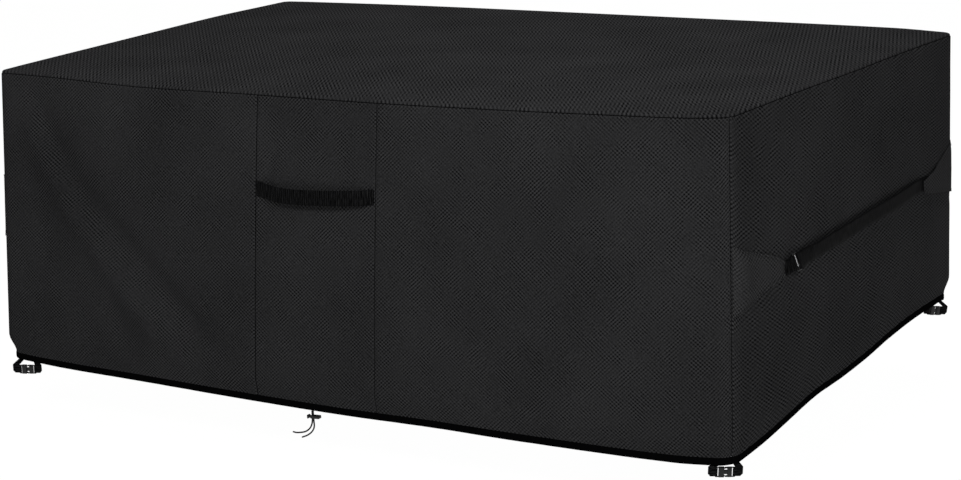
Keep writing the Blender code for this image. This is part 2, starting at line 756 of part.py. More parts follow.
def build_end_strap(side):
    frame = build_slide(side)
    inner_edge = SLIDE_BAR / 2 + SLIDE_SLOT
    turn = hairpin(inner_edge, 1, SLIDE_HALF.z, WEBBING_THICKNESS, 0.6 * MM)
    clear = turn[0][1]
    ending = SLIDE_HALF.x + 14 * MM

    route = []
    for row in STRAP_ROUTE:
        point, _ = on_wall(side, mirrored(side, row.place), row.drop, row.stand_off * MM)
        route.append(point)
    start = frame @ Vector((SLIDE_HALF.x + 8 * MM, 0, clear))
    run = smooth_route([start, *route], STRAP_PIECES)
    places = [(SLIDE_HALF.x + 1 * MM, clear), *turn, (ending, -clear)]
    points = list(reversed(run)) + [frame @ Vector((x, 0, z)) for x, z in places]
    loft(
        f"end_strap_{side}",
        rings_along(
            points, leaning(points, frame, LEAN_REACH["long"]), WEBBING_WIDTH, WEBBING_THICKNESS
        ),
        WEBBING_FINISH,
    )

    tip = TAB_ROWS[f"{side}_front"][-1].reach - WIDTH / 2
    inside, _ = on_wall(side, mirrored(side, tip - 0.028), -0.3785, 4.5 * MM)
    edge, _ = on_wall(side, mirrored(side, tip + 0.003), -0.3780, 5.1 * MM)
    middle, _ = on_wall(side, mirrored(side, tip + 0.017), -0.3770, 10.8 * MM)
    places = [(-SLIDE_HALF.x - 1 * MM, clear)]
    places += [(-x, z) for x, z in turn] + [(-ending + 9 * MM, -clear)]
    points = [inside, edge, middle, *(frame @ Vector((x, 0, z)) for x, z in places)]
    loft(
        f"end_strap_{side}_short",
        rings_along(
            points, leaning(points, frame, LEAN_REACH["short"]), SHORT_STRAP_WIDTH,
            WEBBING_THICKNESS,
        ),
        WEBBING_FINISH,
    )


# ---------------------------------------------------------------------------------------
# Corner loops: a buckle between two webbing drops. The buckle's own axes are X along it,
# from the socket to the plug, Y through its thickness and Z up.

SLOT_INNER, SLOT_OUTER, BUCKLE_END = 15.4 * MM, 20.2 * MM, 24.2 * MM
BLOCK_END = SLOT_INNER - 0.4 * MM
SLOT_HALF = 10.0 * MM
BUCKLE_HALF_HEIGHT = 12.2 * MM
END_HALF_HEIGHT = 11.9 * MM
BAR_HALF_THICKNESS = 1.6 * MM
SOCKET_MOUTH, PLUG_FACE = -3.0 * MM, 5.0 * MM
SOCKET_HALF_THICKNESS = 4.5 * MM
PLUG_HALF_THICKNESS = 3.8 * MM
CAVITY_DEPTH = 9.0 * MM
CAVITY_HALF = Vector((0, 2.9 * MM, 10.5 * MM))
ARM_HALF_THICKNESS = 2.4 * MM
DROP_OUTER, DROP_INNER = 40.6 * MM, 21.4 * MM

# Each corner loop: where its buckle's middle hangs (x, y, below the plain top), the direction
# of its X axis and how far its +X end hangs down, in degrees, and the wall and place that each
# webbing drop is sewn to.
Loop = namedtuple(
    "Loop", "corner x y drop heading tilt socket_wall socket_place plug_wall plug_place"
)
CORNER_LOOPS = (
    Loop("front_right", 1.036, -0.6740, -0.7995, 38, 4, "front", 1.005, "right", -0.632),
    Loop("front_left", -1.0325, -0.6770, -0.7990, 20, 0, "front", -1.030, "front", -0.972),
    Loop("back_right", 1.053, 0.586, -0.7355, 60, 11, "right", 0.555, "right", 0.608),
    Loop("back_left", -1.044, 0.630, -0.768, 225, 0, "back", 1.015, "left", -0.618),
)


def web_end(sign):
    """The bar and slot that every buckle half ends in: a bmesh closed toward the middle."""
    bm = bmesh.new()
    xs = [sign * v for v in (SLOT_INNER - 2 * MM, SLOT_INNER, SLOT_OUTER, BUCKLE_END)]
    zs = [-END_HALF_HEIGHT, -SLOT_HALF, SLOT_HALF, END_HALF_HEIGHT]
    grid = [[bm.verts.new((x, -BAR_HALF_THICKNESS, z)) for z in zs] for x in xs]
    for i in range(3):
        for j in range(3):
            if (i, j) != (1, 1):
                corners = (grid[i][j], grid[i][j + 1], grid[i + 1][j + 1], grid[i + 1][j])
                bm.faces.new(corners)
    grown = bmesh.ops.extrude_face_region(bm, geom=bm.faces[:], use_keep_orig=True)
    for vert in (g for g in grown["geom"] if isinstance(g, bmesh.types.BMVert)):
        vert.co.y += 2 * BAR_HALF_THICKNESS
    # Round the outer corners a little
    corners = [
        edge for edge in bm.edges
        if all(abs(abs(v.co.x) - BUCKLE_END) < 1e-6 for v in edge.verts)
        and all(abs(abs(v.co.z) - END_HALF_HEIGHT) < 1e-6 for v in edge.verts)
        and abs(edge.verts[0].co.y - edge.verts[1].co.y) > 1e-6
    ]
    bmesh.ops.bevel(bm, geom=corners, offset=1.6 * MM, segments=2, affect="EDGES")
    return bm


def joined(name, parts, finish):
    """One mesh from several overlapping bmeshes, joined by Boolean unions."""
    made = []
    for k, bm in enumerate(parts):
        bmesh.ops.recalc_face_normals(bm, faces=bm.faces)
        if bm.calc_volume(signed=True) < 0:
            bmesh.ops.reverse_faces(bm, faces=bm.faces)
        mesh = bpy.data.meshes.new(f"{name}_{k}")
        bm.to_mesh(mesh)
        bm.free()
        obj = bpy.data.objects.new(f"{name}_{k}", mesh)
        bpy.context.scene.collection.objects.link(obj)
        made.append(obj)
    for other in made[1:]:
        modifier = made[0].modifiers.new("join", "BOOLEAN")
        modifier.operation = "UNION"
        modifier.object = other
    bpy.context.view_layer.update()
    graph = bpy.context.evaluated_depsgraph_get()
    mesh = bpy.data.meshes.new_from_object(made[0].evaluated_get(graph))
    for obj in made:
        bpy.data.objects.remove(obj, do_unlink=True)
    mesh.name = name
    mesh.materials.clear()
    mesh.materials.append(finish_material(finish))
    return mesh


def tube_block(low_x, high_x, half_y, half_z, inner_x, inner_half):
    """A rounded block with a pocket that opens at high_x."""
    bm = bmesh.new()
    box(bm, Vector((low_x, -half_y, -half_z)), Vector((high_x, half_y, half_z)))
    long_edges = [
        edge for edge in bm.edges
        if abs(edge.verts[0].co.x - edge.verts[1].co.x) > 1e-6
    ]
    bmesh.ops.bevel(bm, geom=long_edges, offset=1.3 * MM, segments=1, affect="EDGES")
    mouth = max(bm.faces, key=lambda f: f.calc_center_median().x)
    bmesh.ops.inset_region(bm, faces=[mouth], thickness=1.0 * MM, use_even_offset=True)
    mouth = min(
        (f for f in bm.faces if abs(f.calc_center_median().x - high_x) < 1e-6),
        key=lambda f: max(abs(v.co.z) for v in f.verts) + max(abs(v.co.y) for v in f.verts),
    )
    grown = bmesh.ops.extrude_discrete_faces(bm, faces=[mouth])
    for vert in grown["faces"][0].verts:
        vert.co.x = inner_x
        vert.co.y = max(min(vert.co.y, inner_half.y), -inner_half.y)
        vert.co.z = max(min(vert.co.z, inner_half.z), -inner_half.z)
    return bm


def socket_mesh():
    """The half with the pocket, on the -X side."""
    block = tube_block(
        -BLOCK_END, SOCKET_MOUTH, SOCKET_HALF_THICKNESS, BUCKLE_HALF_HEIGHT,
        SOCKET_MOUTH - CAVITY_DEPTH, CAVITY_HALF,
    )
    return joined("buckle_socket", [block, web_end(-1)], PLASTIC_FINISH)


def plug_arm(sign):
    """One springy arm, from the plug's face into the pocket, bowed out between them."""
    rows = (
        (PLUG_FACE + 1 * MM, 8.2, 11.4), (PLUG_FACE - 1.5 * MM, 8.7, 11.7),
        (1.0 * MM, 8.9, 11.8), (SOCKET_MOUTH + 1.2 * MM, 8.0, 10.2),
        (SOCKET_MOUTH - 2.5 * MM, 7.0, 9.4), (SOCKET_MOUTH - 6.5 * MM, 6.8, 9.7),
        (SOCKET_MOUTH - CAVITY_DEPTH + 1 * MM, 7.0, 8.8),
    )
    bm = bmesh.new()
    loops = []
    for x, low, high in rows:
        y = ARM_HALF_THICKNESS
        ring = [(x, -y, low), (x, -y, high), (x, y, high), (x, y, low)]
        loops.append([bm.verts.new((a, b, sign * c * MM)) for a, b, c in ring])
    for one, two in zip(loops, loops[1:]):
        for k in range(4):
            bm.faces.new((one[k], one[(k + 1) % 4], two[(k + 1) % 4], two[k]))
    bm.faces.new(loops[0])
    bm.faces.new(reversed(loops[-1]))
    return bm


def plug_mesh():
    """The half with two arms and a tongue, on the +X side."""
    base = bmesh.new()
    box(base, Vector((PLUG_FACE, -PLUG_HALF_THICKNESS, -BUCKLE_HALF_HEIGHT)),
        Vector((BLOCK_END, PLUG_HALF_THICKNESS, BUCKLE_HALF_HEIGHT)))
    along = [e for e in base.edges if abs(e.verts[0].co.x - e.verts[1].co.x) > 1e-6]
    bmesh.ops.bevel(base, geom=along, offset=2 * MM, segments=2, affect="EDGES")
    tongue = bmesh.new()
    box(tongue, Vector((SOCKET_MOUTH - CAVITY_DEPTH + 1.5 * MM, -2.2 * MM, -4.8 * MM)),
        Vector((PLUG_FACE + 1 * MM, 2.2 * MM, 4.8 * MM)))
    parts = [base, web_end(1), tongue, plug_arm(1), plug_arm(-1)]
    return joined("buckle_plug", parts, PLASTIC_FINISH)


def loop_frame(loop):
    turn = Matrix.Rotation(math.radians(loop.heading), 4, "Z")
    tilt = Matrix.Rotation(math.radians(loop.tilt), 4, "Y")
    return Matrix.Translation((loop.x, loop.y, loop.drop + LIFT)) @ turn @ tilt


def drop_bottom(sign):
    """Webbing round a buckle's bar, as places in the buckle's own axes."""
    turn = hairpin(SLOT_OUTER, 1, BAR_HALF_THICKNESS, HEM_STRAP_THICKNESS, 0.5 * MM)
    front = -turn[0][1]
    behind = front + HEM_STRAP_THICKNESS + GAP
    places = [(DROP_OUTER, front), (DROP_INNER, front), *((x, -y) for x, y in turn)]
    places += [
        (BUCKLE_END + 0.9 * MM, -front), (BUCKLE_END + 4.5 * MM, behind),
        (BUCKLE_END + 12 * MM, behind),
    ]
    return [Vector((sign * x, y, 0)) for x, y in places]


def build_drop(name, loop, sign, wall, place):
    """One webbing drop: sewn inside the hem, down to the buckle and round its bar."""
    frame = loop_frame(loop)
    up = Vector((0, 0, 1))
    points = drop_bottom(sign)
    ups = [up] * len(points)
    rings = rings_along(points, ups, HEM_STRAP_WIDTH, HEM_STRAP_THICKNESS)
    rings = [[frame @ p for p in ring] for ring in rings]

    sewn, outward = casing_centre(wall, place)
    sewn = sewn - outward * (CASING_THICKNESS / 2 + HEM_STRAP_THICKNESS / 2 + HEM_CLEARANCE)
    bottom = sewn.z - CASING_HEIGHT / 2
    chord = frame.to_3x3() @ Vector((sign, 0, 0))
    tangent = outward.cross(up)
    if tangent.dot(chord) < 0:
        tangent = -tangent
    start = frame @ Vector((
        sign * (DROP_OUTER + DROP_INNER) / 2, points[0].y, BUCKLE_HALF_HEIGHT + 1.2 * MM
    ))

    def section(height, share):
        """A section of the drop, from just above the buckle (0) to inside the hem (1)."""
        middle = start.lerp(Vector((sewn.x, sewn.y, height)), share)
        if share:
            middle.z = height
        direction = chord.lerp(tangent, share).normalized()
        thin = direction.cross(up).normalized()
        wide = (DROP_OUTER - DROP_INNER) / 2
        return {
            (a, b): middle + direction * a * wide + thin * b * HEM_STRAP_THICKNESS / 2
            for a in (-1, 1) for b in (-1, 1)
        }

    def grow(bm, loops):
        """Carry the top of the front layer up to the hem, and cut its free corner."""
        near, far = loops[0], loops[1]
        face = next(f for f in bm.faces if {near[1], near[2], far[1], far[2]} == set(f.verts))
        middle = face.calc_center_median()
        spots = {}
        for vert in face.verts:
            away = vert.co - middle
            sides = (1 if away.dot(chord) > 0 else -1, 1 if away.dot(chord.cross(up)) > 0 else -1)
            spots[sides] = vert.co.copy()
        under = bottom - 1.2 * MM
        heights = (
            (start.z, 0.0), (blend(start.z, under, 0.5), 0.5), (under, 1.0),
            (bottom + 0.4 * CASING_HEIGHT, 1.0), (bottom + 0.85 * CASING_HEIGHT, 1.0),
        )
        for height, share in heights:
            target = section(height, share)
            face = bmesh.ops.extrude_discrete_faces(bm, faces=[face])["faces"][0]
            for vert in face.verts:
                vert.co = target[min(spots, key=lambda k: (spots[k] - vert.co).length)]
            spots = target
        corner = bm.edges.get((near[0], near[3]))
        bmesh.ops.bevel(bm, geom=[corner], offset=6 * MM, segments=1, affect="EDGES")

    loft(name, rings, WEBBING_FINISH, ready=grow)


def build_corner_loops():
    socket, plug = socket_mesh(), plug_mesh()
    for loop in CORNER_LOOPS:
        for kind, mesh in (("socket", socket), ("plug", plug)):
            obj = bpy.data.objects.new(f"buckle_{kind}_{loop.corner}", mesh)
            bpy.context.scene.collection.objects.link(obj)
            obj.matrix_world = loop_frame(loop)
        build_drop(
            f"hem_strap_{loop.corner}_socket", loop, -1, loop.socket_wall, loop.socket_place
        )
        build_drop(f"hem_strap_{loop.corner}_plug", loop, 1, loop.plug_wall, loop.plug_place)


# ---------------------------------------------------------------------------------------
# The cord lock and the two free ends of the drawcord

CORD_DIAMETER = 4.0 * MM
CORD_SPACING = CORD_DIAMETER / 2 + 0.2 * MM
LOCK_DROP = -0.8105
LOCK_X = -0.0972
LOCK_TILT = -3.0
LOCK_HALF_WIDTH = 6.6 * MM
LOCK_HALF_HEIGHT = 3.8 * MM
BODY_LOW, BODY_HIGH = -4.4 * MM, 21.5 * MM
BORE_END = 13.0 * MM
STEM_HALF = Vector((0, 5.3 * MM, 2.3 * MM))
LOCK_TRAVEL = 4.0 * MM
BUTTON_LOW, BUTTON_HIGH = -14.0 * MM, -9.6 * MM
CORD_HOLE = Vector((2.5 * MM, 4.6 * MM, 0))

# The routes of the two ends: x along the front, how far to the front (-) or back (+) of the
# lock's middle in cord spacings, and the height below the plain top.
CORD_LONG = (
    (-0.0972, -1, -0.7965), (-0.0972, -1, -0.8030), (-0.0972, -1, -0.8105),
    (-0.0976, -1, -0.8175), (-0.0991, -1, -0.8268), (-0.1022, -1.2, -0.8352),
    (-0.1072, -1.5, -0.8424), (-0.1146, -1.8, -0.8486), (-0.1236, -2.0, -0.8528),
    (-0.1355, -2.0, -0.8558), (-0.1480, -2.0, -0.8576), (-0.1584, -2.0, -0.8566),
)
CORD_LOW = (
    (-0.0972, 1, -0.7965), (-0.0972, 1, -0.8030), (-0.0972, 1, -0.8105),
    (-0.0968, 1, -0.8180), (-0.0962, 1, -0.8270), (-0.0966, 1.2, -0.8365),
    (-0.1005, 1.4, -0.8462), (-0.1092, 1.6, -0.8560), (-0.1220, 1.8, -0.8645),
    (-0.1376, 1.8, -0.8712),
)
CORD_POINTS = 34


def lock_centre():
    """The middle of the lock's cord hole."""
    hem, _ = casing_centre("front", LOCK_X)
    return Vector((LOCK_X, hem.y, LOCK_DROP + LIFT))


def lock_frame():
    turn = Matrix.Rotation(math.radians(LOCK_TILT), 4, "Y")
    return Matrix.Translation(lock_centre()) @ turn


def with_hole(name, bm, cutters, finish, frame):
    """An object cut by boxes that stay in the file as hidden wire cutters."""
    obj = add_object(name, bm, finish, frame)
    for k, (low, high) in enumerate(cutters):
        cutter_mesh = bmesh.new()
        box(cutter_mesh, Vector(low), Vector(high))
        cutter = add_object(f"cutter_{name}_{k}", cutter_mesh, finish, frame)
        cutter.hide_render = True
        cutter.display_type = "WIRE"
        modifier = obj.modifiers.new("hole", "BOOLEAN")
        modifier.operation = "DIFFERENCE"
        modifier.object = cutter
    return obj


def build_cord_lock():
    frame = lock_frame()
    barrel = bmesh.new()
    box(barrel, Vector((BODY_LOW, -LOCK_HALF_WIDTH, -LOCK_HALF_HEIGHT)),
        Vector((BODY_HIGH, LOCK_HALF_WIDTH, LOCK_HALF_HEIGHT)))
    bmesh.ops.bevel(barrel, geom=barrel.edges[:], offset=0.8 * MM, segments=2, affect="EDGES")
    clear = 0.3 * MM
    with_hole(
        "cord_lock_barrel", barrel,
        (
            ((BODY_LOW - 1 * MM, -STEM_HALF.y - clear, -STEM_HALF.z - clear),
             (BORE_END, STEM_HALF.y + clear, STEM_HALF.z + clear)),
            ((-CORD_HOLE.x, -CORD_HOLE.y, -2 * LOCK_HALF_HEIGHT),
             (CORD_HOLE.x, CORD_HOLE.y, 2 * LOCK_HALF_HEIGHT)),
        ),
        PLASTIC_FINISH, frame,
    )

    def outline(x, y, z):
        """A level-sided section of the plunger with cut corners."""
        cut = 0.3 * min(y, z)
        return [
            Vector((x, a, b)) for a, b in (
                (-y + cut, -z), (y - cut, -z), (y, -z + cut), (y, z - cut),
                (y - cut, z), (-y + cut, z), (-y, z - cut), (-y, -z + cut),
            )
        ]

    rows = (
        (BUTTON_LOW, 6.0 * MM, 4.6 * MM), (BUTTON_LOW + 1.0 * MM, 6.5 * MM, 5.1 * MM),
        (BUTTON_HIGH - 1 * MM, 5.8 * MM, 3.6 * MM), (BUTTON_HIGH, STEM_HALF.y, STEM_HALF.z),
        (BORE_END - LOCK_TRAVEL - 1 * MM, STEM_HALF.y, STEM_HALF.z),
    )
    stem = bmesh.new()
    loops = [[stem.verts.new(p) for p in outline(*row)] for row in rows]
    for one, two in zip(loops, loops[1:]):
        for k in range(8):
            stem.faces.new((one[k], one[(k + 1) % 8], two[(k + 1) % 8], two[k]))
    stem.faces.new(reversed(loops[0]))
    stem.faces.new(loops[-1])
    with_hole(
        "cord_lock_plunger", stem,
        (
            ((-CORD_HOLE.x - LOCK_TRAVEL, -CORD_HOLE.y, -2 * STEM_HALF.z),
             (CORD_HOLE.x, CORD_HOLE.y, 2 * STEM_HALF.z)),
        ),
        PLASTIC_FINISH, frame,
    )


def build_cord(name, route):
    """One free end of the drawcord, a tube along a smooth curve through its route."""
    centre = lock_centre()
    points = [Vector((x, centre.y + y * CORD_SPACING, z + LIFT)) for x, y, z in route]
    hem = casing_centre("front", LOCK_X)[0].z - CASING_HEIGHT / 2
    points[0].z = hem - GAP
    curve = bpy.data.curves.new(name, "CURVE")
    curve.dimensions = "3D"
    curve.bevel_depth = CORD_DIAMETER / 2
    curve.bevel_resolution = 2
    curve.use_fill_caps = True
    smooth = smooth_route(points, CORD_POINTS)
    spline = curve.splines.new("POLY")
    spline.points.add(len(smooth) - 1)
    for slot, point in zip(spline.points, smooth):
        slot.co = (*point, 1.0)
    curve.materials.append(finish_material(CORD_FINISH))
    obj = bpy.data.objects.new(name, curve)
    bpy.context.scene.collection.objects.link(obj)
    return obj


def main():
    clear_scene()
    build_top()
    build_walls()
    build_casings()
    build_handle()
    for side in ("right", "left"):
        build_tab(side, "front")
        build_tab(side, "back")
        build_end_strap(side)
    build_corner_loops()
    build_cord_lock()
    build_cord("drawcord_end_long", CORD_LONG)
    build_cord("drawcord_end_low", CORD_LOW)


main()
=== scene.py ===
"""A fitted black cloth cover for a long patio table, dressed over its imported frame.

Metres, +Z up, X along the front and +Y to the back. The origin is the middle of the top
cloth's underside. The camera and the drawcord's free ends come first, then the cloth panels,
the hem, the webbing, the small hardware, the stitching and the studio.
"""

import json
import logging
import math
from dataclasses import dataclass
from enum import Enum
from typing import Callable, NamedTuple, Sequence

import bpy
from mathutils import Matrix, Vector, noise

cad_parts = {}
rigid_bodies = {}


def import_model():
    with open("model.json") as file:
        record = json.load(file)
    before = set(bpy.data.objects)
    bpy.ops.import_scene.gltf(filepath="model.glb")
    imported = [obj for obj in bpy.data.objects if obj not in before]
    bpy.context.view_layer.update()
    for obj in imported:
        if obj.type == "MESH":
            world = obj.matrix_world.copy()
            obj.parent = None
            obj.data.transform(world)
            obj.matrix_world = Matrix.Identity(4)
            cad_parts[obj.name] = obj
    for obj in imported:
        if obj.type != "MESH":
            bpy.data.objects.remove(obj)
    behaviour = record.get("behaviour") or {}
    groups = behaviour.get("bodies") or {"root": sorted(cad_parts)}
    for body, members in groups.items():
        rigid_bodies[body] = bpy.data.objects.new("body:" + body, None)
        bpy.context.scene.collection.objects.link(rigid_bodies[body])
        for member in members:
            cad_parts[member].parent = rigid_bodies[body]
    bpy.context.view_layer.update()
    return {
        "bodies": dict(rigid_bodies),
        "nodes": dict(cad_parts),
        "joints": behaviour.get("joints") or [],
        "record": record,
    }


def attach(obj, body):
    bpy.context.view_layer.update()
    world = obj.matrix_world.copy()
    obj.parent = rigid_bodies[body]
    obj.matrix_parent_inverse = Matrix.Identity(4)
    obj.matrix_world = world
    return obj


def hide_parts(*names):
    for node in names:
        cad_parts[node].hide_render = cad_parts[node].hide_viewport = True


MM = 0.001
UP = Vector((0, 0, 1))
COVER = "cover"
PLUNGER = "plunger"
CLOTH_UV = "cloth"
LOG = logging.getLogger("patio_cover")

Colour = tuple[float, float, float]
Value = float | bpy.types.NodeSocket
Place = float | Vector
Material = bpy.types.Material
Object = bpy.types.Object


# ---------------------------------------------------------------------------------------
# Finishes


class Slot(Enum):
    """The record's material slots."""

    CLOTH = "cover_cloth"
    TAPE = "binding_tape"
    WEBBING = "webbing"
    PLASTIC = "buckle_plastic"
    CORD = "drawcord"


class Recipe:
    """One node material while it is put together."""

    def __init__(self, name: str) -> None:
        """Start a Principled material of that name."""
        self.material = bpy.data.materials.new(name)
        self.material.use_nodes = True
        self.tree = self.material.node_tree
        self.shader = self.tree.nodes["Principled BSDF"]

    def node(self, kind: str, inputs: dict | None = None, **settings) -> bpy.types.Node:
        """Add a node.

        Args:
            kind: The node's Blender type.
            inputs: Socket name or number to a value, or to the output socket it is fed by.
            settings: The node's own properties.

        Returns:
            The new node.
        """
        made = self.tree.nodes.new(kind)
        for key, value in settings.items():
            setattr(made, key, value)
        for key, value in (inputs or {}).items():
            if isinstance(value, bpy.types.NodeSocket):
                self.tree.links.new(value, made.inputs[key])
            else:
                made.inputs[key].default_value = value
        return made

    def math(self, operation: str, first: Value, second: Value = 0.0, third: Value = 0.0) -> Value:
        """The result of a Math node on up to three numbers or sockets."""
        inputs = {0: first, 1: second, 2: third}
        return self.node("ShaderNodeMath", inputs, operation=operation).outputs[0]

    def wave(self, value: Value, period: float) -> Value:
        """A sine of a length in metres, from -1 to 1, that repeats every period."""
        return self.math("SINE", self.math("MULTIPLY", value, 2 * math.pi / period))

    def mix(self, share: Value, low: Colour, high: Colour) -> Value:
        """A colour between two others."""
        ramp = self.node("ShaderNodeMix", {0: share}, data_type="RGBA", clamp_factor=True)
        ramp.inputs[6].default_value = (*low, 1.0)
        ramp.inputs[7].default_value = (*high, 1.0)
        return ramp.outputs[2]

    def surface_places(self) -> tuple[Value, Value]:
        """The piece's own two coordinates along its cloth, in metres."""
        own = self.node("ShaderNodeUVMap", uv_map=CLOTH_UV).outputs[0]
        split = self.node("ShaderNodeSeparateXYZ", {0: own})
        return split.outputs[0], split.outputs[1]

    def noise(self, scale: float, detail: float = 2.0, vector: Value | None = None) -> Value:
        """Soft noise from 0 to 1, on Object coordinates unless a vector is given."""
        if vector is None:
            vector = self.node("ShaderNodeTexCoord").outputs["Object"]
        inputs = {"Vector": vector, "Scale": scale, "Detail": detail}
        return self.node("ShaderNodeTexNoise", inputs).outputs[0]

    def drift(self, scale: float, gain: float, base: float, detail: float = 2.0) -> Value:
        """Soft noise times a gain, over a base."""
        return self.math("MULTIPLY_ADD", self.noise(scale, detail), gain, base)

    def bump(
        self, height: Value, distance: float, strength: float, under: Value | None = None
    ) -> Value:
        """A normal raised by height, over another normal if one is given."""
        inputs = {"Height": height, "Distance": distance, "Strength": strength}
        made = self.node("ShaderNodeBump", inputs)
        if under is not None:
            self.tree.links.new(under, made.inputs["Normal"])
        return made.outputs[0]

    def finish(
        self, colour: Value, normal: Value | None, roughness: float, **constants: float
    ) -> Material:
        """Set the shader and give back the material.

        Args:
            colour: The base colour's socket.
            normal: The normal's socket, or None.
            roughness: One roughness for the whole surface.
            constants: Other sockets, named as Blender names them with _ for a space.

        Returns:
            The finished material.
        """
        self.tree.links.new(colour, self.shader.inputs["Base Color"])
        if normal is not None:
            self.tree.links.new(normal, self.shader.inputs["Normal"])
        self.shader.inputs["Roughness"].default_value = roughness
        for key, value in constants.items():
            self.shader.inputs[key.replace("_", " ")].default_value = value
        return self.material


@dataclass(frozen=True)
class ClothFinish:
    """Coated oxford cloth: a check of raised yarns over a finer weave."""

    name: str
    dark: Colour
    light: Colour
    # Turns a metre, along and across the cloth, of the two diagonals that make the check
    rising: tuple[float, float] = (87.0, 114.5)
    falling: tuple[float, float] = (97.4, -114.5)
    contrast: float = 0.47
    middle: float = 0.48
    thread: float = 1.3 * MM
    roughness: float = 0.75
    # Scale, gain and base of the noise that says which diagonal leads and where they are strong
    lead: tuple[float, ...] = (16.0, 1.2, -0.1)
    patch: tuple[float, ...] = (26.0, 3.0, -0.65)
    # The same of broad clouds, with their detail, and of the yarn's own speckle
    cloud: tuple[float, ...] = (4.0, 0.35, -0.175, 3.0)
    speckle: tuple[float, ...] = (260.0, 0.75, -0.375)

    def material(self) -> Material:
        """The cloth's material."""
        recipe = Recipe(self.name)
        along, across = recipe.surface_places()
        rising, falling = (
            recipe.math("COSINE", recipe.math(
                "ADD", recipe.math("MULTIPLY", along, 2 * math.pi * turns[0]),
                recipe.math("MULTIPLY", across, 2 * math.pi * turns[1]),
            ))
            for turns in (self.rising, self.falling)
        )
        leading = {0: recipe.drift(*self.lead), 2: rising, 3: falling}
        check = recipe.node("ShaderNodeMix", leading).outputs[0]
        threads = recipe.math(
            "MULTIPLY", recipe.wave(along, self.thread), recipe.wave(across, self.thread)
        )
        strong = recipe.math("MULTIPLY", check, recipe.drift(*self.patch))
        share = recipe.math("MULTIPLY_ADD", strong, self.contrast, self.middle)
        for soft in (self.cloud, self.speckle):
            share = recipe.math("ADD", share, recipe.drift(*soft))
        colour = recipe.mix(share, self.dark, self.light)
        normal = recipe.bump(threads, 0.12 * MM, 0.35)
        normal = recipe.bump(check, 0.22 * MM, 0.4, normal)
        return recipe.finish(colour, normal, self.roughness, Specular_IOR_Level=0.0)


@dataclass(frozen=True)
class WebbingFinish:
    """Black webbing or tape: ribs across its length with a few paler threads."""

    name: str
    dark: Colour
    light: Colour
    rib: float
    streaks: float = 0.5
    roughness: float = 0.7
    gloss: float = 0.02
    thread: float = 1.6 * MM
    # Noise turns a metre along and across, so that the pale threads lie along the ribs
    streak_turns: tuple[float, float] = (900.0, 45.0)

    def material(self) -> Material:
        """The webbing's material."""
        recipe = Recipe(self.name)
        along, across = recipe.surface_places()
        ribs = recipe.wave(along, self.rib)
        threads = recipe.wave(across, self.thread)
        long, wide = self.streak_turns
        spots = {0: recipe.math("MULTIPLY", along, long), 1: recipe.math("MULTIPLY", across, wide)}
        stretched = recipe.node("ShaderNodeCombineXYZ", spots).outputs[0]
        streak = recipe.math("SUBTRACT", recipe.noise(1.0, 1.0, stretched), 0.55)
        share = recipe.math("MULTIPLY_ADD", ribs, 0.22, 0.3)
        share = recipe.math("ADD", share, recipe.math("MULTIPLY", streak, 4 * self.streaks))
        colour = recipe.mix(share, self.dark, self.light)
        grain = recipe.math("ADD", ribs, recipe.math("MULTIPLY", threads, 0.4))
        normal = recipe.bump(grain, 0.25 * MM, 0.5)
        return recipe.finish(colour, normal, self.roughness, Specular_IOR_Level=self.gloss)


@dataclass(frozen=True)
class CordFinish:
    """A braided black cord."""

    name: str
    dark: Colour
    light: Colour
    plait: float = 2.4 * MM

    def material(self) -> Material:
        """The cord's material."""
        recipe = Recipe(self.name)
        along, around = recipe.surface_places()
        one = recipe.wave(recipe.math("ADD", along, around), self.plait)
        two = recipe.wave(recipe.math("SUBTRACT", along, around), self.plait)
        braid = recipe.math("MAXIMUM", one, two)
        share = recipe.math("MULTIPLY_ADD", braid, 0.4, 0.35)
        colour = recipe.mix(share, self.dark, self.light)
        return recipe.finish(
            colour, recipe.bump(braid, 0.2 * MM, 0.6), 0.6, Specular_IOR_Level=0.2
        )


@dataclass(frozen=True)
class MouldedFinish:
    """Moulded plastic or bare metal, with a fine moulded or drawn grain."""

    name: str
    dark: Colour
    light: Colour
    roughness: float
    metal: float = 0.0
    gloss: float = 0.5

    def material(self) -> Material:
        """The moulding's material."""
        recipe = Recipe(self.name)
        cloud = recipe.noise(130.0, 2.0)
        grain = recipe.noise(2600.0, 1.0)
        colour = recipe.mix(cloud, self.dark, self.light)
        return recipe.finish(
            colour, recipe.bump(grain, 0.05 * MM, 0.25), self.roughness,
            Metallic=self.metal, Specular_IOR_Level=self.gloss,
        )


DARK, PALE = (0.0028, 0.0028, 0.003), (0.0325, 0.0325, 0.0335)
CLOTH = ClothFinish("oxford_cloth_black", DARK, PALE)
END_CLOTH = ClothFinish("oxford_cloth_black_end", DARK, PALE, (66.0, 109.0), (19.3, -109.0))
TOP_CLOTH = ClothFinish("oxford_cloth_black_top", DARK, PALE, (93.7, 37.0), (83.7, 67.0))
# A paler copy of the cloth for the strap tabs: painted light, standing in for the light the tabs
# catch beside the corner
LIT_TAB_CLOTH = ClothFinish(
    "oxford_cloth_black_tab_lit", (0.0035, 0.0035, 0.0037), (0.0385, 0.0385, 0.0395),
    (78.0, 109.0), (40.0, -109.0), contrast=0.38,
)
TAPE = WebbingFinish(
    "binding_tape_black", (0.0008, 0.0008, 0.0009), (0.0028, 0.0028, 0.003), 2.2 * MM, 0.2, 0.8, 0.0
)
WEBBING = WebbingFinish(
    "webbing_black", (0.0009, 0.0009, 0.001), (0.013, 0.013, 0.0135), 6.4 * MM, 0.7
)
THREAD = MouldedFinish(
    "sewing_thread_black", (0.012, 0.012, 0.0125), (0.022, 0.022, 0.0225), 0.7, 0.0, 0.05
)
PLASTIC = MouldedFinish(
    "clip_plastic_black", (0.005, 0.005, 0.0052), (0.010, 0.010, 0.0105), 0.42, 0.0, 0.22
)
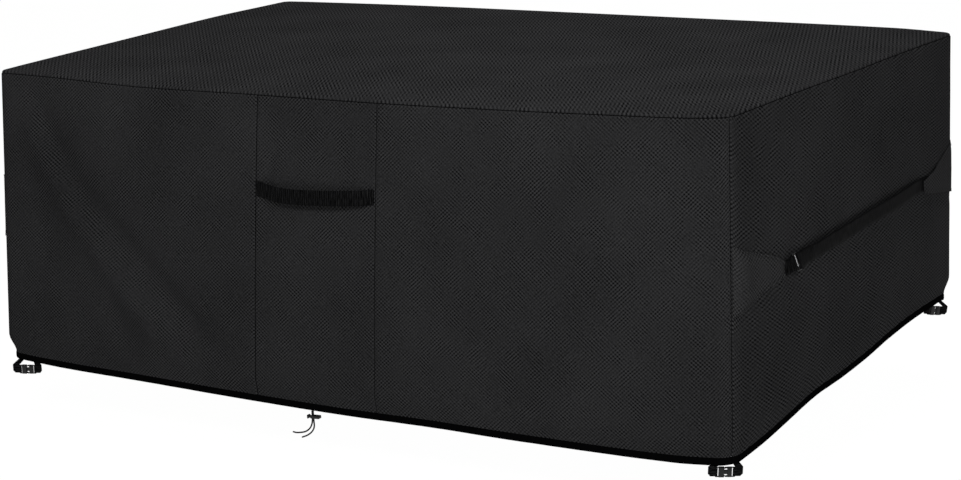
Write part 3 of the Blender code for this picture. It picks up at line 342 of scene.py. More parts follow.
STEEL = MouldedFinish("slide_bar_steel", (0.72, 0.72, 0.73), (0.88, 0.88, 0.9), 0.22, 1.0)
CORD = CordFinish("drawcord_black", (0.0012, 0.0012, 0.0013), (0.006, 0.006, 0.0063))


# ---------------------------------------------------------------------------------------
# The cover's own rule, the same as its solids follow


class Corner(NamedTuple):
    """How far a corner stands from the plain box at the seam and the hem, and its tuck, in mm."""

    top_x: float
    top_y: float
    hem_x: float
    hem_y: float
    tuck: float


class Level(NamedTuple):
    """A place along a wall, in metres, and a height in mm above the plain box."""

    place: float
    height: float


class Wall(NamedTuple):
    """One side of the cover, running anticlockwise seen from above."""

    start: str
    end: str
    along: Vector
    outward: Vector
    length: float
    distance: float
    seam: tuple[Level, ...]
    hem: tuple[Level, ...]


class Fold(NamedTuple):
    """A soft fold of a wall along a line of (place, height), its spread and depth in mm."""

    line: tuple[tuple[float, float], ...]
    spread: float
    depth: float


class StrapRow(NamedTuple):
    """A point of webbing: place, height below the top, stand-off from the cloth in mm."""

    place: float
    drop: float
    stand_off: float


class TabRow(NamedTuple):
    """A section of a strap tab: reach from the corner, its two edges, its puff in mm."""

    reach: float
    top: float
    bottom: float
    puff: float


def table(kind: type, *rows: tuple) -> tuple:
    """A table whose rows are all of one kind."""
    return tuple(kind(*row) for row in rows)


CORNERS = {
    "front_left": Corner(-5, 8, -37, -32, 18),
    "front_right": Corner(-4, -4, 10, -38, 10),
    "back_right": Corner(7, 4, 9, 12, 14),
    "back_left": Corner(-8, -2, -16, 8, 14),
}

LENGTH, WIDTH, HEIGHT = 2.13, 1.32, 0.74

WALLS = {
    "front": Wall(
        "front_left", "front_right", Vector((1, 0, 0)), Vector((0, -1, 0)), LENGTH, WIDTH / 2,
        table(Level, (-1.065, 2), (-0.9, 0), (-0.6, -9), (-0.24, -7), (0.13, -6), (0.47, -1),
               (0.74, 5), (0.95, 11), (1.065, 19)),
        table(Level, (-1.065, -33), (-0.9, -39), (-0.62, -44), (-0.31, -51), (0.0, -55), (0.27, -53),
               (0.5, -55), (0.9, -51), (1.065, -38)),
    ),
    "right": Wall(
        "front_right", "back_right", Vector((0, 1, 0)), Vector((1, 0, 0)), WIDTH, LENGTH / 2,
        table(Level, (-0.66, 19), (-0.47, 17), (-0.25, 14), (0.01, 9), (0.2, 7), (0.45, 3),
               (0.58, 0), (0.66, -1)),
        table(Level, (-0.66, -38), (-0.49, -30), (-0.36, -17), (-0.21, -2), (-0.06, 0), (0.09, 7),
               (0.24, 20), (0.41, 28), (0.59, 26), (0.66, 19)),
    ),
    "back": Wall(
        "back_right", "back_left", Vector((-1, 0, 0)), Vector((0, 1, 0)), LENGTH, WIDTH / 2,
        table(Level, (-1.065, -1), (-0.9, 5), (-0.3, 6), (0.3, 6), (0.62, 5), (0.97, 1), (1.065, -1)),
        table(Level, (-1.065, 19), (-0.9, 6), (-0.5, -20), (0.0, -16), (0.5, -24), (1.065, -4)),
    ),
    "left": Wall(
        "back_left", "front_left", Vector((0, -1, 0)), Vector((-1, 0, 0)), WIDTH, LENGTH / 2,
        table(Level, (-0.66, -1), (-0.54, 1), (-0.3, 5), (0.14, 4), (0.55, 3), (0.66, 2)),
        table(Level, (-0.66, -4), (-0.34, -24), (0.0, -18), (0.35, -32), (0.66, -33)),
    ),
}

FOLDS = {
    "front": table(
        Fold,
        (((-0.93, -0.07), (-0.83, -0.26), (-0.66, -0.43), (-0.51, -0.56),
          (-0.36, -0.66)), 50, -7.5),
        (((-0.95, -0.15), (-0.84, -0.33), (-0.70, -0.49), (-0.57, -0.61), (-0.47, -0.69)), 42, 7.0),
        (((-0.80, -0.55), (-0.62, -0.68)), 40, -5.0),
        (((0.30, -0.36), (0.78, -0.30)), 110, -5.0),
        (((0.32, -0.62), (0.62, -0.56), (0.90, -0.64)), 75, 4.0),
        (((-0.10, -0.40), (0.02, -0.62)), 70, -3.5),
        (((0.95, -0.12), (0.90, -0.40)), 90, 4.0),
    ),
    "right": table(
        Fold,
        (((-0.38, -0.375), (0.40, -0.35)), 45, -8.0),
        (((-0.44, -0.52), (-0.20, -0.60)), 80, 5.0),
        (((0.05, -0.10), (0.45, -0.22)), 90, -4.0),
        (((0.10, -0.58), (0.42, -0.50)), 70, 5.0),
    ),
    "left": table(
        Fold,
        (((-0.40, -0.35), (0.38, -0.375)), 45, -8.0),
        (((-0.30, -0.58), (0.25, -0.52)), 80, 5.0),
    ),
    "back": table(
        Fold,
        (((-0.70, -0.15), (-0.35, -0.60)), 80, -6.0),
        (((0.20, -0.30), (0.65, -0.45)), 100, 5.0),
    ),
}

# Creases too small for the solids, given one by one
CREASES = {
    "front": table(
        Fold,
        (((-0.945, -0.05), (-0.895, -0.15), (-0.80, -0.27), (-0.62, -0.44),
          (-0.50, -0.55), (-0.42, -0.63)), 30, -7.5),
        (((-0.96, -0.13), (-0.915, -0.21), (-0.82, -0.35), (-0.69, -0.50),
          (-0.56, -0.65)), 31, 6.5),
        (((-1.04, -0.04), (-1.00, -0.36), (-0.97, -0.70)), 62, 6.5),
        (((-0.97, -0.26), (-0.90, -0.45), (-0.83, -0.57), (-0.76, -0.68)), 36, -6.0),
        (((-1.01, -0.46), (-0.95, -0.60), (-0.90, -0.72)), 28, -5.0),
        (((-0.70, -0.58), (-0.62, -0.72)), 28, -5.0),
        (((-0.56, -0.50), (-0.50, -0.68)), 16, 2.4),
        (((-0.33, -0.50), (-0.29, -0.68)), 20, -2.0),
        (((-0.196, -0.23), (-0.182, -0.165)), 14, -5.0),
        (((-0.194, -0.294), (-0.13, -0.308)), 14, -5.5),
        (((0.10, -0.21), (0.09, -0.05)), 12, -1.4),
        (((0.17, -0.06), (0.40, -0.04), (0.66, -0.06)), 18, 2.0),
        (((0.17, -0.12), (0.42, -0.13), (0.66, -0.12)), 30, -2.4),
        (((0.24, -0.16), (0.38, -0.36)), 34, 2.2),
        (((0.50, -0.30), (0.86, -0.40)), 50, -2.6),
        (((0.72, -0.46), (0.98, -0.66)), 34, -2.6),
        (((0.30, -0.56), (0.60, -0.68)), 40, 2.2),
    ),
    "right": table(
        Fold,
        (((-0.63, -0.27), (-0.48, -0.31), (-0.38, -0.345)), 12, -2.6),
        (((-0.65, -0.448), (-0.595, -0.431), (-0.55, -0.420), (-0.46, -0.413)), 15, -7.5),
        (((-0.36, -0.335), (-0.22, -0.25)), 20, -3.4),
        (((-0.37, -0.41), (-0.20, -0.49)), 20, -3.4),
        (((0.44, -0.33), (0.30, -0.22)), 22, -3.0),
        (((0.64, -0.434), (0.53, -0.414), (0.47, -0.398)), 14, -6.5),
        (((0.44, -0.385), (0.26, -0.47)), 22, -3.4),
        (((-0.10, -0.44), (0.20, -0.42)), 16, 2.8),
        (((-0.12, -0.31), (0.22, -0.295)), 16, 2.4),
        (((-0.52, -0.10), (-0.30, -0.24)), 34, 2.6),
        (((0.00, -0.56), (0.16, -0.66)), 26, -2.6),
        (((-0.40, -0.60), (-0.22, -0.66)), 26, 2.2),
    ),
    "left": table(
        Fold,
        (((0.36, -0.335), (0.22, -0.25)), 20, -3.0),
        (((0.37, -0.41), (0.20, -0.49)), 20, -3.0),
        (((-0.44, -0.33), (-0.30, -0.22)), 22, -3.0),
        (((-0.20, -0.44), (0.12, -0.42)), 16, 2.4),
        (((0.50, -0.12), (0.24, -0.30)), 36, 2.6),
    ),
    "back": table(
        Fold,
        (((-0.85, -0.10), (-0.55, -0.48), (-0.42, -0.64)), 30, 4.0),
        (((-0.92, -0.16), (-0.62, -0.54), (-0.50, -0.66)), 26, -3.6),
        (((0.40, -0.10), (0.62, -0.42)), 30, -3.0),
        (((-0.10, -0.46), (0.06, -0.66)), 40, 3.0),
    ),
}

HANDLE_ROUTE = table(
    StrapRow,
    (-0.2290, -0.2385, 2.0), (-0.2100, -0.2402, 4.0),
    (-0.1600, -0.2455, 17.0), (-0.1050, -0.2465, 22.0),
    (-0.0400, -0.2440, 22.0), (0.0300, -0.2405, 19.0),
    (0.0850, -0.2365, 12.0), (0.1080, -0.2343, 3.5),
    (0.1200, -0.2335, 2.0),
)

FRONT_TAB = table(
    TabRow,
    (0.002, -0.270, -0.4365, 3.0), (0.020, -0.277, -0.4310, 11.0),
    (0.045, -0.286, -0.4240, 17.5), (0.080, -0.2975, -0.4145, 13.0),
    (0.125, -0.312, -0.4050, 9.5), (0.175, -0.3285, -0.3990, 9.0),
    (0.220, -0.3470, -0.3960, 9.0), (0.242, -0.3570, -0.3945, 9.0),
    (0.250, -0.3610, -0.3935, 9.0),
)
# The hidden left front tab lies flatter by its corner
FLAT_PUFFS = (3.0, 4.2, 5.5, 7.5, 8.5, 9.0, 9.0, 9.0, 9.0)
BACK_TAB = table(
    TabRow,
    (0.002, -0.280, -0.4210, 3.0), (0.020, -0.286, -0.4185, 6.0),
    (0.045, -0.2935, -0.4145, 8.0), (0.080, -0.305, -0.4080, 9.0),
    (0.120, -0.3185, -0.4010, 8.5), (0.165, -0.333, -0.3930, 8.0),
    (0.205, -0.344, -0.3850, 8.0), (0.224, -0.348, -0.3805, 8.0),
)
TAB_ROWS = {
    ("right", "front"): FRONT_TAB,
    ("right", "back"): BACK_TAB,
    ("left", "front"): tuple(r._replace(puff=p) for r, p in zip(FRONT_TAB, FLAT_PUFFS)),
    ("left", "back"): BACK_TAB,
}

STRAP_ROUTE = table(
    StrapRow,
    (-0.290, -0.3725, 14.0), (-0.250, -0.3735, 14.0),
    (-0.160, -0.3720, 13.0), (0.025, -0.3670, 12.0),
    (0.220, -0.3630, 12.0), (0.345, -0.3602, 9.0), (0.395, -0.3592, 6.0),
    (0.430, -0.3590, 4.0), (0.480, -0.3595, 3.7),
)


def blend(low: Place, high: Place, share: float) -> Place:
    """A number or a point between two others."""
    return low + (high - low) * share


def ease(share: float) -> float:
    """A soft step from 0 to 1."""
    share = min(max(share, 0.0), 1.0)
    return share * share * (3 - 2 * share)


def bell(away: float, spread: float) -> float:
    """1 at no distance, falling softly to 0 past the spread."""
    return math.exp(-((away / spread) ** 2))


def through(rows: Sequence[tuple], place: float, column: int = 1) -> float:
    """The value at a place of a smooth line through a table's rows.

    Args:
        rows: Rows whose first column is the place, in rising order.
        place: Where to read the line.
        column: Which column to read.

    Returns:
        The value there, held level past the first and last row.
    """
    last = len(rows) - 1
    if place <= rows[0][0]:
        return rows[0][column]
    if place >= rows[last][0]:
        return rows[last][column]
    k = max(i for i in range(last) if rows[i][0] <= place)

    def slope(i: int) -> float:
        """The line's slope at a row."""
        low, high = max(i - 1, 0), min(i + 1, last)
        return (rows[high][column] - rows[low][column]) / (rows[high][0] - rows[low][0])

    span = rows[k + 1][0] - rows[k][0]
    x = (place - rows[k][0]) / span
    return (
        (2 * x**3 - 3 * x**2 + 1) * rows[k][column]
        + (x**3 - 2 * x**2 + x) * span * slope(k)
        + (3 * x**2 - 2 * x**3) * rows[k + 1][column]
        + (x**3 - x**2) * span * slope(k + 1)
    )


def spread_evenly(start: float, end: float, cells: int) -> list[float]:
    """Places from start to end, both included."""
    return [blend(start, end, k / cells) for k in range(cells + 1)]


def graded(low: float, high: float, ends: Sequence[float], cell: float) -> list[float]:
    """Places from low to high, close together at both ends.

    Args:
        low: The first place.
        high: The last place.
        ends: How far the close places are from their end, in mm.
        cell: About how far apart the others are.

    Returns:
        The places.
    """
    near = [s * MM for s in ends]
    cells = max(round((high - low - 2 * near[-1]) / cell), 1)
    middle = spread_evenly(low + near[-1], high - near[-1], cells)
    return [low + s for s in near[:-1]] + middle + [high - s for s in reversed(near[:-1])]


def held_within(place: float, half: float) -> float:
    """A place no further than half from the middle."""
    return min(max(place, -half), half)


def running_lengths(points: Sequence[Vector]) -> list[float]:
    """The length of a line up to each of its points."""
    lengths = [0.0]
    for one, two in zip(points, points[1:]):
        lengths.append(lengths[-1] + (two - one).length)
    return lengths


def resampled(points: Sequence[Vector], count: int) -> list[Vector]:
    """count + 1 evenly spread places on the straight runs between points."""
    lengths = running_lengths(points)
    found, i = [], 0
    for k in range(count + 1):
        target = lengths[-1] * k / count
        while i < len(points) - 2 and lengths[i + 1] < target:
            i += 1
        share = (target - lengths[i]) / (lengths[i + 1] - lengths[i])
        found.append(points[i].lerp(points[i + 1], share))
    return found


def smooth_route(points: Sequence[Vector], count: int) -> list[Vector]:
    """count + 1 evenly spread places on a smooth curve through the points."""
    ends = [points[0] * 2 - points[1], *points, points[-1] * 2 - points[-2]]
    fine = []
    for a, b, c, d in zip(ends, ends[1:], ends[2:], ends[3:]):
        for k in range(16):
            x = k / 16
            fine.append(
                0.5 * (2 * b + (c - a) * x + (2 * a - 5 * b + 4 * c - d) * x**2
                       + (3 * b - 3 * c + d - a) * x**3)
            )
    fine.append(points[-1])
    return resampled(fine, count)


@dataclass
class CoverShape:
    """Where the cloth lies: every wall is one rule over its small tables."""

    rim_radius: float = 6.0 * MM
    top_corner: float = 22.0 * MM
    hem_corner: float = 45.0 * MM
    hem_tuck: float = 10.0
    tuck_height: float = 50.0 * MM
    billow: float = 5.0 * MM
    crown: float = 2.0 * MM
    casing: float = 18.0 * MM
    cloth: float = 2.0 * MM
    gap: float = 0.3 * MM
    gather: float = 1.7 * MM
    ripple: float = 0.9 * MM
    pucker: float = 0.45 * MM
    # How far up from the hem gathers fade and start, in metres, and the rows where puckers fade
    gather_reach: float = 0.055
    gather_start: float = 0.02
    pucker_reach: float = 0.035
    # Turns a metre of the noise, along a wall and up it
    ripple_turns: tuple = (5.5, 4.0)
    gather_turns: tuple = (24, 6)
    pucker_turns: tuple = (60, 8)
    lift: float = 0.0

    def __post_init__(self) -> None:
        """Lower the cover so that the middle of its underside is at the origin."""
        self.lift = self.cloth - self.top_height(0.0, 0.0)

    def seam_height(self, wall: str, place: float) -> float:
        """Height of the top seam over the plain box."""
        return through(WALLS[wall].seam, place) * MM

    def top_height(self, along: float, across: float) -> float:
        """Height of the top's outer skin over the plain box, at -1 to 1 each way."""
        x, y = along * LENGTH / 2, across * WIDTH / 2
        u, v = (along + 1) / 2, (across + 1) / 2
        front, back = self.seam_height("front", x), self.seam_height("back", -x)
        left, right = self.seam_height("left", -y), self.seam_height("right", y)
        low = blend(*(self.seam_height("front", s * LENGTH / 2) for s in (-1, 1)), u)
        high = blend(*(self.seam_height("back", s * LENGTH / 2) for s in (1, -1)), u)
        coons = blend(front, back, v) + blend(left, right, u) - blend(low, high, v)
        dome = self.crown * (1 - along**2) * (1 - across**2)
        return coons + self.rim_radius + dome

    def folds_at(self, folds: Sequence[Fold], place: float, drop: float) -> float:
        """How far a wall's folds push a point of it out, in metres."""
        depth = 0.0
        for fold in folds:
            reach = 3 * fold.spread * MM
            places = [p for p, _ in fold.line]
            if not min(places) - reach < place < max(places) + reach:
                continue
            nearest = min(
                self.line_distance(place, drop, a, b) for a, b in zip(fold.line, fold.line[1:])
            )
            if nearest < reach:
                depth += fold.depth * MM * bell(nearest, fold.spread * MM)
        return depth

    @staticmethod
    def line_distance(x: float, y: float, a: tuple, b: tuple) -> float:
        """Distance from a point to a line between two others."""
        dx, dy = b[0] - a[0], b[1] - a[1]
        share = ((x - a[0]) * dx + (y - a[1]) * dy) / (dx * dx + dy * dy)
        share = min(max(share, 0.0), 1.0)
        return math.hypot(x - a[0] - share * dx, y - a[1] - share * dy)

    def wall_point(
        self, wall: str, place: float, row: float, fine: bool = False
    ) -> tuple[Vector, Vector]:
        """A point on a wall's outer skin.

        Args:
            wall: The wall's name.
            place: How far along it from its middle.
            row: 0 at the top seam to 1 at the hem tape's upper edge.
            fine: Whether small creases, ripples and hem gathers are added.

        Returns:
            The point and the outward direction there.
        """
        w = WALLS[wall]
        radius = blend(self.top_corner, self.hem_corner, row)
        half = w.length / 2
        side = math.copysign(1.0, place)
        turned = max(abs(place) - (half - radius), 0.0) / radius * math.radians(45)
        outward = (w.outward * math.cos(turned) + w.along * side * math.sin(turned)).normalized()
        if turned:
            centre = w.along * side * (half - radius) + w.outward * (w.distance - radius)
            point = centre + outward * radius
        else:
            point = w.along * place + w.outward * w.distance
        share = place / w.length + 0.5
        start, end = CORNERS[w.start], CORNERS[w.end]
        moved = blend(
            blend(Vector(start[:2]), Vector(start[2:4]), row),
            blend(Vector(end[:2]), Vector(end[2:4]), row),
            share,
        ) * MM
        point = point + Vector((moved.x, moved.y, 0))

        top = self.seam_height(wall, place) + self.lift
        bottom = through(w.hem, place) * MM - HEIGHT + self.lift + self.casing + self.gap
        height = blend(top - self.gap / 2, bottom, row)
        drop = height - self.lift
        flat = 1 - ease(abs(place) / half * 4 - 3)
        edge = ease(row * 9) * ease((1 - row) * 7)
        calm = 0.25 + 0.75 * flat
        out = self.billow * math.sin(math.pi * row) * flat
        out += self.folds_at(FOLDS[wall], place, drop) * edge * calm
        tuck = blend(end.tuck if side > 0 else start.tuck, self.hem_tuck, flat) * MM
        out -= tuck * ease(1 - (height - bottom) / self.tuck_height)
        if fine:
            shut = ease((half - abs(place)) / (30 * MM))
            out += self.folds_at(CREASES[wall], place, drop) * ease(row * 12) * calm * shut
            out += self.small_waves(w, place, height - bottom, row) * shut
        point = point + outward * out
        point.z = height
        return point, outward

    def small_waves(self, wall: Wall, place: float, above_hem: float, row: float) -> float:
        """Ripples all over a wall and gathers above its hem, in metres."""
        seed = wall.distance * 7 + wall.outward.x * 3 + wall.outward.y
        ripples, gathers, puckers = (
            Vector((place * turns[0], above_hem * turns[1], seed + layer))
            for turns, layer in (
                (self.ripple_turns, 0), (self.gather_turns, 4), (self.pucker_turns, 9),
            )
        )
        waves = self.ripple * noise.noise(ripples)
        waves += 0.35 * self.ripple * noise.noise(ripples * 3.7)
        fading = math.exp(-above_hem / self.gather_reach) * ease(above_hem / self.gather_start)
        waves += self.gather * noise.noise(gathers) * fading
        waves += self.pucker * noise.noise(puckers) * math.exp(-row / self.pucker_reach)
        return waves * ease(row * 60)

    def row_at(self, wall: str, place: float, drop: float) -> float:
        """The row of a wall that lies a given height below the plain top."""
        top = self.seam_height(wall, place)
        bottom = through(WALLS[wall].hem, place) * MM - HEIGHT + self.casing
        return (top - drop) / (top - bottom)

    def on_wall(
        self, wall: str, place: float, drop: float, stand_off: float
    ) -> tuple[Vector, Vector]:
        """A point standing off a wall at a height below the plain top, and the way out."""
        point, outward = self.wall_point(wall, place, self.row_at(wall, place, drop))
        return point + outward * stand_off, outward

    def rim_point(self, wall: str, place: float, angle: float) -> Vector:
        """A point of the turned-down edge, from 0 at the seam to 90 degrees on the top."""
        seam, outward = self.wall_point(wall, place, 0.0)
        seam -= outward * self.rim_radius * (1 - math.cos(angle))
        seam.z += self.gap + self.rim_radius * math.sin(angle)
        return seam

    def casing_centre(self, wall: str, place: float) -> tuple[Vector, Vector]:
        """The middle of the hem tape's section, and the way out."""
        point, outward = self.wall_point(wall, place, 1.0)
        centre = point - outward * self.cloth / 2
        centre.z -= self.casing / 2 + self.gap
        return centre, outward


SHAPE = CoverShape()
CORNER_TURN = 42 * MM
CORNER_DRAW = 0.65


def cloth_place(wall: str, place: float) -> float:
    """A place measured along the cloth, which is drawn in where an end wall's corner turns."""
    if wall not in ("right", "left"):
        return place
    near = max(0.0, CORNER_TURN - (WIDTH / 2 - abs(place)))
    return place + math.copysign(CORNER_DRAW * near * near / CORNER_TURN, place)


# ---------------------------------------------------------------------------------------
# Making pieces


def deselect() -> None:
    """Leave nothing selected and no object in edit mode."""
    if bpy.context.object and bpy.context.object.mode != "OBJECT":
        bpy.ops.object.mode_set(mode="OBJECT")
    bpy.ops.object.select_all(action="DESELECT")


def activate(obj: Object) -> None:
    """Make one object the selected and active one."""
    deselect()
    obj.select_set(True)
    bpy.context.view_layer.objects.active = obj


def apply_modifiers(obj: Object) -> None:
    """Apply every modifier of an object."""
    activate(obj)
    for modifier in list(obj.modifiers):
        bpy.ops.object.modifier_apply(modifier=modifier.name)


def face_outward(obj: Object, clean: Callable[[], object] | None = None) -> None:
    """Turn every face of a mesh outward.

    Args:
        obj: The mesh's object.
        clean: An operator that first cleans the mesh, once its double points are joined.
    """
    activate(obj)
    bpy.ops.object.mode_set(mode="EDIT")
    bpy.ops.mesh.select_all(action="SELECT")
    if clean is not None:
        bpy.ops.mesh.remove_doubles(threshold=0.01 * MM)
        clean()
    bpy.ops.mesh.normals_make_consistent(inside=False)
    bpy.ops.object.mode_set(mode="OBJECT")


def round_edges(obj: Object, width: float, sharp: float, smooth: float) -> None:
    """Bevel an object's sharp edges and shade it smooth.

    Args:
        obj: The object.
        width: The bevel's width.
        sharp: The angle in degrees over which an edge is bevelled.
        smooth: The angle in degrees under which it is shaded smooth.
    """
    rounded = obj.modifiers.new("edges", "BEVEL")
    rounded.width = width
    rounded.segments = 2
    rounded.limit_method = "ANGLE"
    rounded.angle_limit = math.radians(sharp)
    apply_modifiers(obj)
    bpy.ops.object.shade_smooth_by_angle(angle=math.radians(smooth))


def tube_faces(rings: int, sides: int) -> list[tuple[int, ...]]:
    """Faces of a tube of so many rings of points, with both its ends closed."""
    faces = []
    for k in range(rings - 1):
        a, b = k * sides, (k + 1) * sides
        for i in range(sides):
            j = (i + 1) % sides
            faces.append((a + i, a + j, b + j, b + i))
    last = (rings - 1) * sides
    faces.append(tuple(reversed(range(sides))))
    faces.append(tuple(last + i for i in range(sides)))
    return faces


def mesh_object(
    name: str,
    points: Sequence[Vector],
    faces: Sequence[Sequence[int]],
    material: Material,
    places: Sequence[tuple[float, float]] | None = None,
) -> Object:
    """A smooth-shaded mesh object.

    Args:
        name: The piece's name.
        points: Its points, in the row frame.
        faces: Its faces, as point numbers.
        material: Its finish.
        places: Each point's own coordinates along the cloth, in metres.

    Returns:
        The object, at the origin.
    """
    mesh = bpy.data.meshes.new(name)
    mesh.from_pydata([tuple(p) for p in points], [], faces)
    if places is not None:
        layer = mesh.uv_layers.new(name=CLOTH_UV)
        for loop in mesh.loops:
            layer.data[loop.index].uv = places[loop.vertex_index]
    mesh.materials.append(material)
    mesh.polygons.foreach_set("use_smooth", [True] * len(mesh.polygons))
    mesh.update()
    obj = bpy.data.objects.new(name, mesh)
    bpy.context.scene.collection.objects.link(obj)
    return obj


def cloth_sheet(
    name: str,
    grid: Sequence[Sequence[Vector]],
    places: Sequence[Sequence[tuple[float, float]]],
    facing: Vector,
    thickness: float,
    material: Material,
) -> Object:
    """A sheet over a grid of points on its outer skin.

    Args:
        name: The piece's name.
        grid: Rows of points.
        places: The same rows of places along the cloth.
        facing: Roughly the way its outer skin faces.
        thickness: The cloth's thickness, laid to the inside.
        material: Its finish.

    Returns:
        The sheet, closed round its edges.
    """
    columns = len(grid[0])
    faces = []
    for j in range(len(grid) - 1):
        for i in range(columns - 1):
            a = j * columns + i
            faces.append((a, a + columns, a + columns + 1, a + 1))
    points = [p for row in grid for p in row]
    a, b, _, d = (points[k] for k in faces[len(faces) // 2])
    if (b - a).cross(d - a).dot(facing) < 0:
        faces = [tuple(reversed(face)) for face in faces]
    obj = mesh_object(name, points, faces, material, [p for row in places for p in row])
    solid = obj.modifiers.new("thickness", "SOLIDIFY")
    solid.thickness = thickness
    solid.offset = -1.0
    solid.use_even_offset = False
    apply_modifiers(obj)
    return obj


class Section(NamedTuple):
    """One section of webbing: its middle, the way across it and its outer side."""

    centre: Vector
    across: Vector
    outward: Vector


# The webbing's ribs, and how its edges thin and waver
RIB = 3.0 * MM
RIB_DEPTH = 0.22 * MM
SELVEDGE = 0.006
WEBBING_CELLS = 6
WEBBING_THINNING = 0.45


def webbing_strip(
    name: str,
    sections: Sequence[Section],
    width: float,
    thickness: float,
    material: Material,
) -> Object:
    """Ribbed webbing through sections, with rounded edges and closed ends.

    Args:
        name: The piece's name.
        sections: Its sections, about a quarter of a rib apart.
        width: The webbing's width.
        thickness: Its thickness.
        material: Its finish.

    Returns:
        The webbing.
    """
    profile = []
    for k in range(WEBBING_CELLS + 1):
        place = 2 * k / WEBBING_CELLS - 1
        profile.append((place * width / 2, 1 - WEBBING_THINNING * abs(place) ** 6))
    points, places = [], []
    for run, section in zip(running_lengths([s.centre for s in sections]), sections):
        rise = RIB_DEPTH * 0.5 * (1 + math.sin(2 * math.pi * run / RIB))
        edge = 1 + SELVEDGE * math.sin(math.pi * run / RIB)
        for sign in (1, -1):
            for across, round_off in profile if sign > 0 else reversed(profile):
                off = sign * (thickness / 2 * round_off - RIB_DEPTH + rise * round_off)
                points.append(
                    section.centre + section.across * across * edge + section.outward * off
                )
                places.append((run, across))
    faces = tube_faces(len(sections), 2 * len(profile))
    obj = mesh_object(name, points, faces, material, places)
    face_outward(obj)
    return obj


def node_copy(
    nodes: dict, node: str, ending: str, material: Material, clean: Callable[[], object]
) -> Object:
    """A cleaned copy of a node's mesh in a finish.

    Args:
        nodes: The frame's nodes.
        node: The node's name.
        ending: What the copy's name adds to it.
        material: Its finish.
        clean: The operator that merges its triangles.

    Returns:
        The copy.
    """
    mesh = nodes[node].data.copy()
    obj = bpy.data.objects.new(f"{node}_{ending}", mesh)
    bpy.context.scene.collection.objects.link(obj)
    mesh.materials.clear()
    mesh.materials.append(material)
    face_outward(obj, clean)
    return obj


def declare(
    obj: Object, what: str, node: str | None = None, body: str = COVER
) -> Object:
    """Say what a finished piece is, and log it.

    Args:
        obj: The piece.
        what: A few words for the log.
        node: The frame's node that it replaces, if any.
        body: The body that it moves with.

    Returns:
        The piece.
    """
    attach(obj, body)
    if node is not None:
        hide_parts(node)
    LOG.info("%s: %s, %d faces", obj.name, what, len(obj.data.polygons))
    return obj


# Degrees: faces of a moulding merge when flatter, its edges are bevelled when sharper, and
# it is shaded smooth when softer
FLAT_ANGLE = 0.6
SHARP_ANGLE = 38
SMOOTH_ANGLE = 42


def moulded_copy(
    nodes: dict, node: str, material: Material, bevel: float, body: str = COVER
) -> Object:
    """A moulding of the frame with its edges rounded, which replaces it.

    Args:
        nodes: The frame's nodes.
        node: The node's name.
        material: Its finish.
        bevel: How far its edges are rounded.
        body: The body that it moves with.

    Returns:
        The new piece.
    """
    obj = node_copy(
        nodes, node, "finished", material,
        lambda: bpy.ops.mesh.dissolve_limited(angle_limit=math.radians(FLAT_ANGLE)),
    )
    round_edges(obj, bevel, SHARP_ANGLE, SMOOTH_ANGLE)
    return declare(obj, "moulding", node, body)


# ---------------------------------------------------------------------------------------
# Sub-assemblies


@dataclass
class Viewpoint:
    """The camera, at the photograph's viewing angle."""

    position: tuple[float, float, float] = (3.43, -5.601, 1.0691)
    turn: tuple[float, float, float] = (1.3346, 0.0399, 0.5404)
    lens: float = 94.53
    sensor: float = 36.0

    def build(self) -> None:
        """Make the scene's camera."""
        data = bpy.data.cameras.new("camera")
        data.lens = self.lens
        data.sensor_width = self.sensor
        data.sensor_fit = "HORIZONTAL"
        camera = bpy.data.objects.new("camera", data)
        camera.location = self.position
        camera.rotation_euler = self.turn
        bpy.context.scene.collection.objects.link(camera)
        bpy.context.scene.camera = camera


